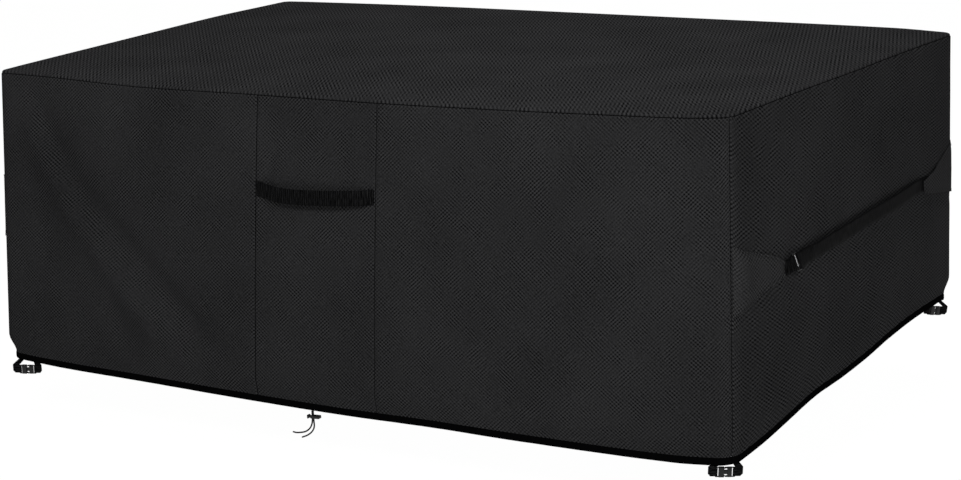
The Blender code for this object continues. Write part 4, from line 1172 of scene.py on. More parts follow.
@dataclass
class DrawcordEnds:
    """The two free ends of the drawcord, and the lock that they run through."""

    diameter: float = 4.0 * MM
    sides: int = 12
    stations: int = 150
    lock_x: float = -0.0972
    clearance: float = 0.2 * MM
    braid: float = 0.10 * MM
    plait: float = 2.4 * MM
    melted: float = 1.6 * MM
    # x along the front, how far forward in cord spacings, height below the plain top
    long_route: tuple = (
        (-0.0972, -1, -0.7965), (-0.0972, -1, -0.8030), (-0.0972, -1, -0.8105),
        (-0.0976, -1, -0.8175), (-0.0991, -1, -0.8268), (-0.1022, -1.2, -0.8352),
        (-0.1072, -1.5, -0.8424), (-0.1146, -1.8, -0.8486), (-0.1236, -2.0, -0.8528),
        (-0.1355, -2.0, -0.8558), (-0.1480, -2.0, -0.8576), (-0.1584, -2.0, -0.8566),
    )
    low_route: tuple = (
        (-0.0972, 1, -0.7965), (-0.0972, 1, -0.8030), (-0.0972, 1, -0.8105),
        (-0.0968, 1, -0.8180), (-0.0962, 1, -0.8270), (-0.0966, 1.2, -0.8365),
        (-0.1005, 1.4, -0.8462), (-0.1092, 1.6, -0.8560), (-0.1220, 1.8, -0.8645),
        (-0.1376, 1.8, -0.8712),
    )

    def points(self, route: Sequence[tuple]) -> list[Vector]:
        """The smooth line of one cord end, from the hem down."""
        centre, _ = SHAPE.casing_centre("front", self.lock_x)
        spacing = self.diameter / 2 + self.clearance
        guide = [Vector((x, centre.y + y * spacing, z + SHAPE.lift)) for x, y, z in route]
        guide[0].z = centre.z - SHAPE.casing / 2 - SHAPE.gap
        return smooth_route(guide, self.stations)

    def plaited(self, place: float) -> float:
        """How far up its strands the braid is at a place, from 0 to 1."""
        return abs(math.sin(math.pi * place / self.plait))

    def tube(self, name: str, line: Sequence[Vector], material: Material) -> Object:
        """A braided tube along a line, with a slightly melted tip."""
        points, places = [], []
        side = Vector((0, 1, 0))
        last = len(line) - 1
        for k, (run, centre) in enumerate(zip(running_lengths(line), line)):
            ahead = (line[min(k + 1, last)] - line[max(k - 1, 0)]).normalized()
            side = (side - ahead * side.dot(ahead)).normalized()
            other = ahead.cross(side)
            left = (line[last] - centre).length
            tip = 0.55 + 0.45 * math.sqrt(min(left / self.melted, 1.0))
            for i in range(self.sides):
                angle = 2 * math.pi * i / self.sides
                around = angle * self.diameter / 2
                plait = max(self.plaited(run + around), self.plaited(run - around))
                radius = (self.diameter / 2 - self.braid * (1 - plait)) * tip
                points.append(centre + (side * math.cos(angle) + other * math.sin(angle)) * radius)
                places.append((run, around))
        return mesh_object(name, points, tube_faces(len(line), self.sides), material, places)

    def build(self, nodes: dict) -> None:
        plastic, cord = PLASTIC.material(), CORD.material()
        barrel = moulded_copy(nodes, "cord_lock_barrel", plastic, 0.35 * MM)
        plunger = moulded_copy(nodes, "cord_lock_plunger", plastic, 0.3 * MM, PLUNGER)
        for node, route, held in (
            ("drawcord_end_long", self.long_route, [barrel, plunger]),
            ("drawcord_end_low", self.low_route, []),
        ):
            line = self.points(route)
            length = running_lengths(line)[-1]
            obj = self.tube(f"{node}_braided", line, cord)
            declare(obj, f"cord end {length:.3f} m long", node)


@dataclass
class ClothPanels:
    """The walls and the top, each a sheet on the cover's own rule."""

    thickness: float = 1.3 * MM
    cell: float = 9.5 * MM
    seam_depth: float = 1.4 * MM
    seam_spread: float = 2.0 * MM
    # Gaps between panels at the seams, through which the near-black seam tape shows as painted shade
    seam_gap: float = 0.6 * MM
    corner_gap: float = 1.4 * MM
    top_gap: float = 0.7 * MM
    top_cell: float = 14.0 * MM
    # Distances from an edge in mm, for close rows by a seam and round the top's corners
    seam_steps: tuple = (0.0, 0.8, 1.8, 3.2, 5.0, 8.0)
    corner_steps: tuple = (0.0, 4, 8, 13, 18, 24)
    # Degrees round the turned-down edge, from the seam to the top
    rim_angles: tuple = (0, 15, 30, 48, 68, 90)
    left_seam: tuple = (-0.224, -0.246)
    right_seam: tuple = (0.129, 0.107)

    def steps(self, low: float, high: float) -> list[float]:
        """Places from low to high, close together at both ends where the seams are."""
        return graded(low, high, self.seam_steps, self.cell)

    def wall_grid(
        self, wall: str, low: Callable[[float], float], high: Callable[[float], float]
    ) -> tuple[list, list]:
        """Points and cloth places of a stretch of a wall.

        Args:
            wall: The wall's name.
            low: The place of its first edge on a row.
            high: The place of its last edge on a row.

        Returns:
            The rows of points and of places.
        """
        w = WALLS[wall]
        drop = HEIGHT - SHAPE.casing
        rows = [max(s, self.top_gap) / drop for s in self.steps(0.0, drop)]
        shares = [
            (p - low(0.0)) / (high(0.0) - low(0.0)) for p in self.steps(low(0.0), high(0.0))
        ]
        grid, places = [], []
        for row in rows:
            line, spots = [], []
            for share in shares:
                place = blend(low(row), high(row), share)
                held = held_within(place, w.length / 2 - self.corner_gap)
                point, outward = SHAPE.wall_point(wall, held, row, True)
                away = min(place - low(row), high(row) - place, row * drop)
                point -= outward * self.seam_depth * bell(away, self.seam_spread)
                line.append(point)
                spots.append((cloth_place(wall, place), -row * drop))
            grid.append(line)
            places.append(spots)
        return grid, places

    def build_walls(self, cloth: Material, end_cloth: Material) -> dict[str, Object]:
        """The six wall panels, by node name."""
        half_long, half_short = LENGTH / 2, WIDTH / 2

        def seam(ends: tuple, side: float) -> Callable[[float], float]:
            """The edge beside an upright seam."""
            return lambda row: blend(*ends, row) + side * self.seam_gap

        def corner(place: float) -> Callable[[float], float]:
            """The edge at a corner."""
            return lambda row: place

        panels = {
            "front_panel_left": ("front", corner(-half_long), seam(self.left_seam, -1)),
            "front_panel_centre": ("front", seam(self.left_seam, 1), seam(self.right_seam, -1)),
            "front_panel_right": ("front", seam(self.right_seam, 1), corner(half_long)),
            "end_panel_right": ("right", corner(-half_short), corner(half_short)),
            "back_panel": ("back", corner(-half_long), corner(half_long)),
            "end_panel_left": ("left", corner(-half_short), corner(half_short)),
        }
        made = {}
        for node, (wall, low, high) in panels.items():
            grid, places = self.wall_grid(wall, low, high)
            material = end_cloth if node.startswith("end") else cloth
            obj = cloth_sheet(
                f"{node}_cloth", grid, places, WALLS[wall].outward, self.thickness, material
            )
            made[node] = declare(obj, "wall cloth", node)
        return made

    def build_top(self, material: Material) -> Object:
        """The top panel, whose edge turns down into the seam all round."""
        angles = [math.radians(a) for a in self.rim_angles]
        rings = len(angles) - 1
        xs, ys = (
            graded(-side / 2, side / 2, self.corner_steps, self.top_cell)
            for side in (LENGTH, WIDTH)
        )
        columns, rows = len(xs) - 1 + 2 * rings, len(ys) - 1 + 2 * rings
        stations = {"front": xs, "back": [-x for x in xs], "left": [-y for y in ys], "right": ys}
        edges = {
            wall: [
                [self.dipped(wall, place, angle) for place in spots]
                for angle in angles
            ]
            for wall, spots in stations.items()
        }
        inner = {wall: ring[-1] for wall, ring in edges.items()}
        grid, places = [], []
        for j in range(rows + 1):
            line, spots = [], []
            for i in range(columns + 1):
                ring = min(i, j, columns - i, rows - j, rings)
                a = min(max(i - rings, 0), len(xs) - 1)
                b = min(max(j - rings, 0), len(ys) - 1)
                if j == ring:
                    point = edges["front"][ring][a]
                elif j == rows - ring:
                    point = edges["back"][ring][a]
                elif i == ring:
                    point = edges["left"][ring][b]
                elif i == columns - ring:
                    point = edges["right"][ring][b]
                else:
                    point = self.top_middle(inner, xs, ys, a, b)
                line.append(point)
                spots.append((point.x, point.y))
            grid.append(line)
            places.append(spots)
        obj = cloth_sheet("top_panel_cloth", grid, places, UP, self.thickness, material)
        return declare(obj, "top cloth", "top_panel")

    def dipped(self, wall: str, place: float, angle: float) -> Vector:
        """A point of the turned-down edge, drawn in towards the seam."""
        place = held_within(place, WALLS[wall].length / 2 - SHAPE.gap)
        point = SHAPE.rim_point(wall, place, angle)
        _, outward = SHAPE.wall_point(wall, place, 0.0)
        away = SHAPE.rim_radius * angle
        point.z += 0.7 * MM * bell(away, self.seam_spread)
        return point - outward * 0.8 * self.seam_depth * bell(away, self.seam_spread)

    def top_middle(self, inner: dict, xs: list, ys: list, a: int, b: int) -> Vector:
        """A point inside the top's rim: the surface between its four edges, a little wavy."""
        u, v = xs[a] / LENGTH + 0.5, ys[b] / WIDTH + 0.5
        across = blend(inner["front"][a], inner["back"][a], v)
        across = across + blend(inner["left"][b], inner["right"][b], u)
        twist = blend(
            blend(inner["front"][0], inner["front"][-1], u),
            blend(inner["back"][0], inner["back"][-1], u), v,
        )
        point = across - twist
        edge = ease(6 * min(u, 1 - u)) * ease(4 * min(v, 1 - v))
        point.z += SHAPE.crown * (1 - (2 * u - 1) ** 2) * (1 - (2 * v - 1) ** 2)
        point.z += 1.1 * MM * noise.noise(Vector((point.x * 2.6, point.y * 3.1, 2.0))) * edge
        point.z += 0.35 * MM * noise.noise(Vector((point.x * 9, point.y * 11, 5.0))) * edge
        return point


@dataclass
class SeamShadeTape:
    """Near-black tape behind the narrow gaps at the seams: painted shade standing in for the shade in
    the seam grooves, seen as a thin dark line between panels.
    """

    reach: float = 7.0 * MM
    behind: float = 1.75 * MM
    thickness: float = 0.5 * MM
    stations: int = 90
    hem_stations: int = 260
    first_row: float = 0.008
    last_row: float = 0.9995
    clear_of_corner: float = 4.0 * MM
    rim_angle: float = 50.0
    # behind the cloth's face and above the hem tape, in millimetres
    hem_section: tuple = ((1.75, 4.0), (1.9, 0.5), (3.4, 0.45), (4.9, -2.5))

    def strip(
        self, name: str, rows: Sequence[Sequence[Vector]], facing: Vector,
        material: Material,
    ) -> None:
        """One length of tape over rows of points."""
        places = [
            [(run, self.reach * (n - 1)) for n in range(len(row))]
            for run, row in zip(running_lengths([row[1] for row in rows]), rows)
        ]
        # The tape is painted shade: a near-black sheet in the seam gaps in place of the grooves' own
        # shade
        obj = cloth_sheet(f"seam_shade_tape_{name}", rows, places, facing, self.thickness, material)
        declare(obj, "seam tape")

    def inner(self, wall: str, place: float, row: float) -> Vector:
        """A point just behind a wall's cloth."""
        point, outward = SHAPE.wall_point(wall, place, row)
        return point - outward * self.behind

    def corner_line(self, wall: str, after: str, row: float) -> list[Vector]:
        """The tape's section at a corner, from one wall round to the next."""
        end, start = WALLS[wall].length / 2, -WALLS[after].length / 2
        return [
            self.inner(wall, end - self.reach, row), self.inner(wall, end, row),
            self.inner(after, start + self.reach, row),
        ]

    def top_line(self, wall: str, place: float) -> list[Vector]:
        """The section of the tape behind the top seam."""
        _, outward = SHAPE.wall_point(wall, place, 0.0)
        high = SHAPE.rim_point(wall, place, math.radians(self.rim_angle))
        return [
            self.inner(wall, place, self.first_row), self.inner(wall, place, 0.0) + UP * 1.0 * MM,
            high - (outward + UP) * 0.72 * self.behind,
        ]

    def hem_line(self, wall: str, place: float) -> list[Vector]:
        """The section of the tape that closes the seam over the hem."""
        point, outward = SHAPE.wall_point(wall, place, 1.0)
        return [
            point - outward * behind * MM + UP * (above * MM - SHAPE.gap)
            for behind, above in self.hem_section
        ]

    def build(self, material: Material, uprights: dict[str, tuple]) -> None:
        """Tape the upright seams, the corners, the top seam and the hem seam.

        Args:
            material: The tape's finish.
            uprights: Each upright front seam's place at the top and at the hem.
        """
        rows = spread_evenly(self.first_row, self.last_row, self.stations)
        for name, ends in uprights.items():
            line = [
                [self.inner("front", blend(*ends, row) + n * self.reach, row) for n in (-1, 0, 1)]
                for row in rows
            ]
            self.strip(name, line, WALLS["front"].outward, material)
        for wall, w in WALLS.items():
            after = next(name for name, other in WALLS.items() if other.start == w.end)
            line = [self.corner_line(wall, after, row) for row in rows]
            self.strip(w.end, line, w.outward + WALLS[after].outward, material)
            half = w.length / 2 - self.clear_of_corner
            line = [self.top_line(wall, p) for p in spread_evenly(-half, half, 2 * self.stations)]
            self.strip(f"top_{wall}", line, w.outward, material)
            line = [self.hem_line(wall, p) for p in spread_evenly(-half, half, self.hem_stations)]
            self.strip(f"hem_{wall}", line, w.outward, material)


@dataclass
class HemTape:
    """The black binding tape round the hem, a little drawn up on its cord."""

    thickness: float = 6.5 * MM
    sides: int = 16
    cell: float = 7.0 * MM
    squareness: float = 0.6
    swelling: float = 0.07
    sway: float = 0.5 * MM

    def squared(self, value: float) -> float:
        """A sine or cosine pushed outward, for a section between round and square."""
        return math.copysign(abs(value) ** self.squareness, value)

    def build(self, wall: str, material: Material) -> Object:
        """One wall's stretch of tape."""
        w = WALLS[wall]
        half = w.length / 2 - SHAPE.gap
        stations = spread_evenly(-half, half, round(2 * half / self.cell))
        points, places = [], []
        for place in stations:
            centre, outward = SHAPE.casing_centre(wall, place)
            calm = ease((half - abs(place)) / 0.03)
            spot = Vector((place * 42, w.outward.x * 5 + w.outward.y * 9, 0.0))
            swell = 1 + self.swelling * noise.noise(spot) * calm
            centre = centre + outward * self.sway * noise.noise(spot * 0.6) * calm
            for k in range(self.sides):
                angle = 2 * math.pi * k / self.sides
                side, rise = self.squared(math.cos(angle)), self.squared(math.sin(angle))
                points.append(
                    centre + outward * side * swell * self.thickness / 2
                    + UP * rise * SHAPE.casing / 2
                )
                places.append((place, rise * SHAPE.casing / 2 + side * self.thickness / 2))
        faces = tube_faces(len(stations), self.sides)
        obj = mesh_object(f"hem_tape_{wall}", points, faces, material, places)
        face_outward(obj)
        return declare(obj, "hem tape", f"hem_casing_{wall}")


@dataclass
class FrontHandle:
    """The ribbed webbing handle sewn into the front's two upright seams."""

    width: float = 38.0 * MM
    thickness: float = 1.8 * MM
    pieces: int = 480

    def build(self, material: Material, rests_on: list[str]) -> None:
        guide = [
            SHAPE.on_wall("front", row.place, row.drop, row.stand_off * MM)[0]
            for row in HANDLE_ROUTE
        ]
        sections = []
        for centre in smooth_route(guide, self.pieces):
            drop = centre.z - SHAPE.lift
            _, outward = SHAPE.on_wall("front", centre.x, drop, 0.0)
            low, _ = SHAPE.on_wall("front", centre.x, drop - self.width / 2, 0.0)
            high, _ = SHAPE.on_wall("front", centre.x, drop + self.width / 2, 0.0)
            sections.append(Section(centre, (high - low).normalized(), outward))
        obj = webbing_strip(
            "front_handle_webbing", sections, self.width, self.thickness, material
        )
        length = running_lengths([section.centre for section in sections])[-1]
        declare(obj, f"handle {length:.3f} m long", "front_handle")


@dataclass
class StrapTab:
    """A tapered cloth tab, folded along its edges and sewn into a corner seam."""

    side: str
    corner: str
    thickness: float = 1.5 * MM
    cells: int = 26
    steps: int = 56
    edge_lift: float = 3.0
    droop: float = 3.5
    hem: float = 7.0 * MM
    folded: float = 0.7 * MM
    wrinkle: float = 0.3 * MM

    @property
    def rows(self) -> tuple[TabRow, ...]:
        """The tab's own table."""
        return TAB_ROWS[self.side, self.corner]

    def height(self, reach: float) -> float:
        """How tall the tab is at a distance from the corner seam."""
        return through(self.rows, reach, 1) - through(self.rows, reach, 2)

    def place(self, reach: float) -> float:
        """The place along the end wall of a distance from the corner seam."""
        toward = 1 if self.corner == "front" else -1
        place = toward * (reach - WIDTH / 2)
        return place if self.side == "right" else -place

    def point(self, reach: float, share: float, raised: float = 0.0) -> tuple[Vector, Vector]:
        """A point of the tab's outer skin, at a share of its height."""
        top, bottom, puff = (through(self.rows, reach, column) for column in (1, 2, 3))
        drop = blend(bottom, top, share)
        edge = blend(1 - (2 * share - 1) ** 4, 1.0, ease((reach - 0.12) / 0.04))
        loose = blend(self.edge_lift + self.droop * ease(reach / 0.03), self.edge_lift, share)
        lift = loose + (puff - loose) * edge
        return SHAPE.on_wall(self.side, self.place(reach), drop, lift * MM + raised)

    def build(self, material: Material, panel: str) -> Object:
        rows = self.rows
        low, high = rows[0].reach, rows[-1].reach
        grid, places = [], []
        for reach in spread_evenly(low, high, self.steps):
            line, spots = [], []
            tall = self.height(reach)
            place = cloth_place(self.side, self.place(reach))
            for share in spread_evenly(0.0, 1.0, self.cells):
                near = min(share, 1 - share) * tall
                fold = self.folded * (ease(2 - near / self.hem * 2) - 1)
                wrinkle = self.wrinkle * noise.noise(Vector((reach * 26, share * 5, 3.0)))
                point, _ = self.point(reach, share, fold + wrinkle)
                line.append(point)
                spots.append((place, through(rows, reach, 2) + share * tall))
            grid.append(line)
            places.append(spots)
        name = f"strap_tab_{self.side}_{self.corner}"
        obj = cloth_sheet(
            f"{name}_cloth", grid, places, WALLS[self.side].outward, self.thickness, material
        )
        declare(obj, "strap tab", name)
        return obj


@dataclass
class EndStrap:
    """The two lengths of webbing across one end, and the slide between them."""

    side: str
    width: float = 38.0 * MM
    short_width: float = 34.0 * MM
    thickness: float = 1.8 * MM
    place: float = -0.357
    drop: float = -0.3735
    stand_off: float = 16.5 * MM
    lean: float = 20.0
    bar: float = 3.0 * MM
    slot: float = 6.5 * MM
    half_length: float = 11.0 * MM
    half_plate: float = 1.5 * MM
    bar_reach: float = 14.0 * MM
    bar_rise: float = 3.0 * MM
    bar_share: float = 0.72
    step: float = 0.8 * MM
    stations: int = 200
    short_stations: int = 40
    # How far past the slide the webbing starts to bend, is flat again, and ends
    bend: float = 1.0 * MM
    flat_again: float = 8.0 * MM
    tail: float = 14.0 * MM
    short_tail: float = 5.0 * MM
    # How far from the slide each length of webbing leans over with it
    long_lean: float = 0.13
    short_lean: float = 0.062
    # Past the front tab's tip, height below the plain top, stand-off in mm
    tucked_end: tuple = ((-0.028, -0.3785, 4.5), (0.003, -0.3780, 5.1), (0.017, -0.3770, 10.8))

    def mirrored(self, place: float) -> float:
        """The right end's places run from front to back, the left end's the other way."""
        return place if self.side == "right" else -place

    def frame(self) -> Matrix:
        """The slide's own axes: X to the back, Y up, Z out of the cover."""
        centre, outward = SHAPE.on_wall(
            self.side, self.mirrored(self.place), self.drop, self.stand_off
        )
        back = Vector((0, 1, 0))
        up = outward.cross(back)
        if up.z < 0:
            up = -up
        lean = math.radians(self.lean)
        up, outward = (
            up * math.cos(lean) - outward * math.sin(lean),
            outward * math.cos(lean) + up * math.sin(lean),
        )
        return Matrix.Translation(centre) @ Matrix((back, up, outward)).transposed().to_4x4()

    def turn(self) -> list[tuple[float, float]]:
        """Places of webbing round an outer bar's inner edge, from front to back."""
        radius = self.half_plate + SHAPE.gap + self.thickness / 2
        centre = self.bar / 2 + self.slot + 0.6 * MM
        angles = [math.radians(90 + 15 * k) for k in range(13)]
        return [(centre + radius * math.cos(a), radius * math.sin(a)) for a in angles]

    def sections(self, points: list[Vector], frame: Matrix, reach: float) -> list[Section]:
        """Webbing sections along points that lean over with the slide near it."""
        own = (frame.to_3x3() @ Vector((0, 1, 0))).normalized()
        upright = Vector((0, own.y, abs(own.z))).normalized()
        made, last = [], len(points) - 1
        for k, centre in enumerate(points):
            share = ease(1.25 * (1 - (centre - frame.translation).length / reach))
            up = upright.lerp(own, share).normalized()
            along = points[min(k + 1, last)] - points[max(k - 1, 0)]
            made.append(Section(centre, up, along.cross(up).normalized()))
        return made

    def strip(
        self, node: str, points: list[Vector], frame: Matrix, reach: float, width: float,
        material: Material, rests_on: list[str],
    ) -> None:
        """One length of webbing, declared.

        Args:
            node: The frame's node that it replaces.
            points: The line of its middle.
            frame: The slide's axes.
            reach: How far from the slide it leans over.
            width: The webbing's width.
            material: Its finish.
            rests_on: The pieces that it lies on; not used.
        """
        length = running_lengths(points)[-1]
        fine = resampled(points, round(length / self.step))
        obj = webbing_strip(
            f"{node}_webbing", self.sections(fine, frame, reach), width, self.thickness, material
        )
        declare(obj, f"strap {length:.3f} m long", node)

    def on_end(self, place: float, drop: float, stand_off: float) -> Vector:
        """A point off this end wall, the stand-off in mm."""
        return SHAPE.on_wall(self.side, self.mirrored(place), drop, stand_off * MM)[0]

    def build(
        self, nodes: dict, webbing: Material, plastic: Material,
        steel: Material, tabs: dict,
    ) -> None:
        """Make the slide, its bare bar and both lengths of webbing.

        Args:
            nodes: The frame's nodes.
            webbing: The webbing's finish.
            plastic: The slide's finish.
            steel: The bare bar's finish.
            tabs: The strap tabs, by side and corner.
        """
        frame = self.frame()
        turn = self.turn()
        clear = turn[0][1]
        half = self.half_length
        route = [self.on_end(*row) for row in STRAP_ROUTE]
        start = frame @ Vector((half + self.flat_again, 0, clear))
        run = smooth_route([start, *route], self.stations)
        places = [(half + self.bend, clear), *turn, (half + self.tail, -clear)]
        points = list(reversed(run)) + [frame @ Vector((x, 0, z)) for x, z in places]
        self.strip(
            f"end_strap_{self.side}", points, frame, self.long_lean, self.width, webbing,
            [tabs[self.side, "back"].name],
        )

        tip = TAB_ROWS[self.side, "front"][-1].reach - WIDTH / 2
        tucked = [
            self.on_end(tip + past, drop, stand_off) for past, drop, stand_off in self.tucked_end
        ]
        first = frame @ Vector((-half - self.bend, 0, clear))
        lead = smooth_route([*tucked, first], self.short_stations)
        places = [(-x, z) for x, z in turn] + [(-half - self.short_tail, -clear)]
        points = lead + [frame @ Vector((x, 0, z)) for x, z in places]
        self.strip(
            f"end_strap_{self.side}_short", points, frame, self.short_lean, self.short_width,
            webbing, [tabs[self.side, "front"].name],
        )
        moulded_copy(nodes, f"strap_slide_{self.side}", plastic, 0.5 * MM)
        self.bare_bar(frame, steel)

    def bare_bar(self, frame: Matrix, steel: Material) -> None:
        """The bright round bar in the middle of the slide."""
        deselect()
        bpy.ops.mesh.primitive_cylinder_add(
            vertices=20, radius=self.bar * self.bar_share, depth=2 * self.bar_reach,
            end_fill_type="NGON",
        )
        bar = bpy.context.object
        bar.name = f"slide_bar_{self.side}"
        bpy.ops.object.mode_set(mode="EDIT")
        bpy.ops.mesh.select_all(action="SELECT")
        bpy.ops.transform.rotate(
            value=math.radians(90), orient_axis="X", center_override=(0.0, 0.0, 0.0)
        )
        bpy.ops.object.mode_set(mode="OBJECT")
        bar.data.transform(frame @ Matrix.Translation((0, self.bar_rise, 0)))
        bar.data.update()
        bar.data.materials.append(steel)
        activate(bar)
        bpy.ops.object.shade_smooth_by_angle(angle=math.radians(40))
        declare(bar, "bare bar of the slide")


@dataclass
class CornerLoops:
    """The four clips below the hem and the webbing drops that hold them."""

    corners: tuple = ("front_right", "front_left", "back_right", "back_left")

    def drop(self, nodes: dict, node: str, material: Material) -> None:
        """A webbing drop, softened from its solid."""
        obj = node_copy(
            nodes, node, "webbing", material,
            lambda: bpy.ops.mesh.tris_convert_to_quads(
                face_threshold=math.radians(70), shape_threshold=math.radians(120)
            ),
        )
        mesh = obj.data
        layer = mesh.uv_layers.get(CLOTH_UV) or mesh.uv_layers.new(name=CLOTH_UV)
        for loop in mesh.loops:
            co = mesh.vertices[loop.vertex_index].co
            layer.data[loop.index].uv = (co.z, co.x + co.y)
        round_edges(obj, 0.35 * MM, 50, 60)
        declare(obj, "webbing drop", node)

    def build(self, nodes: dict, webbing: Material, plastic: Material) -> None:
        """Make every clip and drop."""
        for corner in self.corners:
            for half in ("socket", "plug"):
                moulded_copy(nodes, f"buckle_{half}_{corner}", plastic, 0.45 * MM)
                self.drop(nodes, f"hem_strap_{corner}_{half}", webbing)


@dataclass
class Stitching:
    """Rows of lock stitches: every stitch a short raised thread."""

    pitch: float = 5.0 * MM
    stitch: float = 3.9 * MM
    radius: float = 0.42 * MM
    below_seam: float = 7.5 * MM
    above_hem: float = 4.0 * MM
    beside_seam: float = 7.0 * MM
    tab_inset: float = 6.5 * MM
    tab_end_rows: tuple = (5 * MM, 14 * MM)
    clear_of_corner: float = 6.0 * MM
    wall_stations: int = 260
    upright_stations: int = 120
    tab_stations: int = 90
    # Share of a stitch's length, rise and thickness in thread radii
    sections: tuple = ((0.0, -0.5, 0.6), (0.3, 0.6, 1.0), (0.7, 0.6, 1.0), (1.0, -0.5, 0.6))

    def row(self, line: Sequence[tuple[Vector, Vector]]) -> tuple[list, list]:
        """Points and faces of the stitches along a line of points and their outward ways."""
        lengths = running_lengths([spot for spot, _ in line])
        cells = tube_faces(len(self.sections), 4)
        points, faces, i = [], [], 0

        def at(run: float) -> tuple[Vector, Vector]:
            """The point and the way out at a length along the line."""
            nonlocal i
            while i < len(line) - 2 and lengths[i + 1] < run:
                i += 1
            share = (run - lengths[i]) / max(lengths[i + 1] - lengths[i], 1e-9)
            return line[i][0].lerp(line[i + 1][0], share), line[i][1]

        run = self.pitch
        while run + self.stitch < lengths[-1]:
            first = len(points)
            stops = [at(run + self.stitch * share) for share, _, _ in self.sections]
            ahead = (stops[-1][0] - stops[0][0]).normalized()
            for (spot, outward), (_, rise, thick) in zip(stops, self.sections):
                side = ahead.cross(outward).normalized()
                middle = spot + outward * self.radius * rise
                for a, b in ((1, 0), (0, 1), (-1, 0), (0, -1)):
                    points.append(middle + (side * a + outward * b) * self.radius * thick)
            faces += [tuple(first + n for n in cell) for cell in cells]
            run += self.pitch
        return points, faces

    def build(self, name: str, lines: Sequence, material: Material) -> None:
        """One piece of all the stitches along several lines."""
        points, faces = [], []
        for line in lines:
            more, cells = self.row(line)
            faces += [tuple(k + len(points) for k in cell) for cell in cells]
            points += more
        obj = mesh_object(name, points, faces, material)
        face_outward(obj)
        declare(obj, "stitching")

    def wall_line(self, wall: str, row: float) -> list[tuple[Vector, Vector]]:
        """A line along a wall on one of its rows."""
        half = WALLS[wall].length / 2 - self.clear_of_corner
        return [
            SHAPE.wall_point(wall, place, row, True)
            for place in spread_evenly(-half, half, self.wall_stations)
        ]

    def upright_line(self, wall: str, top: float, hem: float) -> list[tuple[Vector, Vector]]:
        """A line down a wall, from a place at its top to a place at its hem."""
        return [
            SHAPE.wall_point(wall, blend(top, hem, row), row, True)
            for row in spread_evenly(0.015, 0.99, self.upright_stations)
        ]

    def tab_lines(self, tab: StrapTab) -> list[list[tuple[Vector, Vector]]]:
        """Lines along both edges of a tab and two across its outer end."""
        low, high = tab.rows[0].reach, tab.rows[-1].reach
        lines = [[], []]
        for reach in spread_evenly(low + 4 * MM, high - 5 * MM, self.tab_stations):
            inset = self.tab_inset / tab.height(reach)
            lines[0].append(tab.point(reach, inset))
            lines[1].append(tab.point(reach, 1 - inset))
        for back in self.tab_end_rows:
            shares = spread_evenly(0.12, 0.88, 12)
            lines.append([tab.point(high - back, share) for share in shares])
        return lines

    def sew(self, panels: ClothPanels, tabs: Sequence[StrapTab], thread: Material) -> None:
        """Sew the seams, the hem tape and the tabs.

        Args:
            panels: The cloth panels, for their upright seams.
            tabs: The strap tabs.
            thread: The thread's finish.
        """
        drop = HEIGHT - SHAPE.casing
        for name, row in (
            ("top_seam_stitching", self.below_seam / drop),
            ("hem_stitching", 1 - self.above_hem / drop),
        ):
            self.build(name, [self.wall_line(wall, row) for wall in WALLS], thread)
        uprights = []
        for (top, hem), away in (
            (panels.left_seam, -self.beside_seam), (panels.right_seam, self.beside_seam),
        ):
            uprights.append(self.upright_line("front", top + away, hem + away))
        for wall, w in WALLS.items():
            place = w.length / 2 - self.beside_seam
            uprights.append(self.upright_line(wall, place, place))
        self.build("upright_seam_stitching", uprights, thread)
        lines = [line for tab in tabs for line in self.tab_lines(tab)]
        self.build("strap_tab_stitching", lines, thread)


class Lamp(NamedTuple):
    """A square soft lamp: its place, the point it looks at, its size and its power in watts."""

    name: str
    place: Vector
    aim: Vector
    size: float
    power: float


LAMPS = (
    Lamp("key", Vector((0.6, -3.4, 2.0)), Vector((-0.1, -0.66, -0.3)), 0.9, 62),
    Lamp("end", Vector((3.9, -2.9, 1.9)), Vector((0.9, -0.3, -0.3)), 1.2, 105),
    Lamp("top", Vector((0.0, 0.7, 4.0)), Vector((0.0, 0.4, 0.0)), 3.4, 170),
)


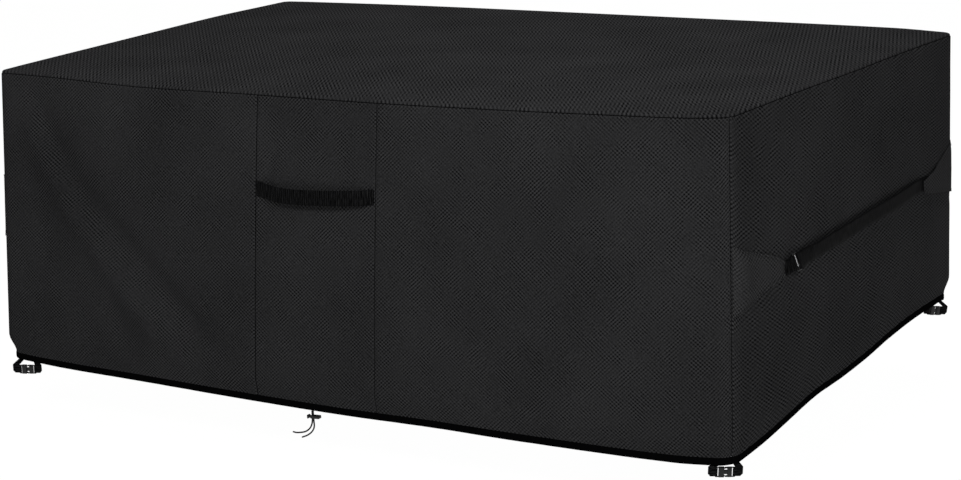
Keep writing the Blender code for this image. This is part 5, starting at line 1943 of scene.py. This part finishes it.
@dataclass
class Studio:
    """A pale floor and soft light from all round."""

    floor_drop: float = -0.93
    floor_half: float = 40.0
    sky: float = 0.17
    glow: float = 0.99

    def material(self) -> Material:
        """The floor's matte paint, which glows a little so that shadows stay faint."""
        recipe = Recipe("studio_floor")
        colour = recipe.mix(recipe.noise(0.6, 1.0), (0.022,) * 3, (0.026,) * 3)
        recipe.shader.inputs["Emission Color"].default_value = (1, 1, 1, 1)
        return recipe.finish(
            colour, None, 0.9, Specular_IOR_Level=0.0, Emission_Strength=self.glow
        )

    @staticmethod
    def lamp(row: Lamp) -> None:
        """Hang one lamp."""
        data = bpy.data.lights.new(row.name, "AREA")
        data.shape = "SQUARE"
        data.size = row.size
        data.energy = row.power
        lamp = bpy.data.objects.new(row.name, data)
        lamp.location = row.place
        lamp.rotation_euler = (row.aim - row.place).to_track_quat("-Z", "Y").to_euler()
        bpy.context.scene.collection.objects.link(lamp)

    def build(self) -> None:
        """Make the floor, the lamps and the sky."""
        deselect()
        bpy.ops.mesh.primitive_plane_add(
            size=2 * self.floor_half, location=(0, 0, self.floor_drop)
        )
        floor = bpy.context.object
        floor.name = "studio_floor"
        floor.data.materials.append(self.material())
        for row in LAMPS:
            self.lamp(row)
        world = bpy.data.worlds.new("studio")
        world.use_nodes = True
        world.node_tree.nodes["Background"].inputs[0].default_value = (1, 1, 1, 1)
        world.node_tree.nodes["Background"].inputs[1].default_value = self.sky
        bpy.context.scene.world = world
        bpy.context.scene.view_settings.view_transform = "Standard"


def main() -> None:
    """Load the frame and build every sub-assembly in order."""
    logging.basicConfig(level=logging.INFO, format="%(message)s")
    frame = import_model()
    deselect()
    nodes = frame["nodes"]
    Viewpoint().build()
    DrawcordEnds().build(nodes)

    webbing, tape = WEBBING.material(), TAPE.material()
    plastic, steel = PLASTIC.material(), STEEL.material()
    # The strap tabs get the paler cloth, painted light
    lit_tab_cloth = LIT_TAB_CLOTH.material()
    panels = ClothPanels()
    walls = panels.build_walls(CLOTH.material(), END_CLOTH.material())
    top = panels.build_top(TOP_CLOTH.material())
    # The seam tape takes the hem tape's near-black finish as painted shade in the seam gaps
    SeamShadeTape().build(tape, {"left": panels.left_seam, "right": panels.right_seam})
    hems = {wall: HemTape().build(wall, tape) for wall in WALLS}

    FrontHandle().build(webbing, [walls["front_panel_centre"].name])
    tabs = {place: StrapTab(*place) for place in TAB_ROWS}
    sewn_on = {
        place: tab.build(lit_tab_cloth, walls[f"end_panel_{tab.side}"].name)
        for place, tab in tabs.items()
    }
    for side in ("right", "left"):
        EndStrap(side).build(nodes, webbing, plastic, steel, sewn_on)
    CornerLoops().build(nodes, webbing, plastic)
    Stitching().sew(panels, list(tabs.values()), THREAD.material())
    Studio().build()


if __name__ == "__main__":
    main()
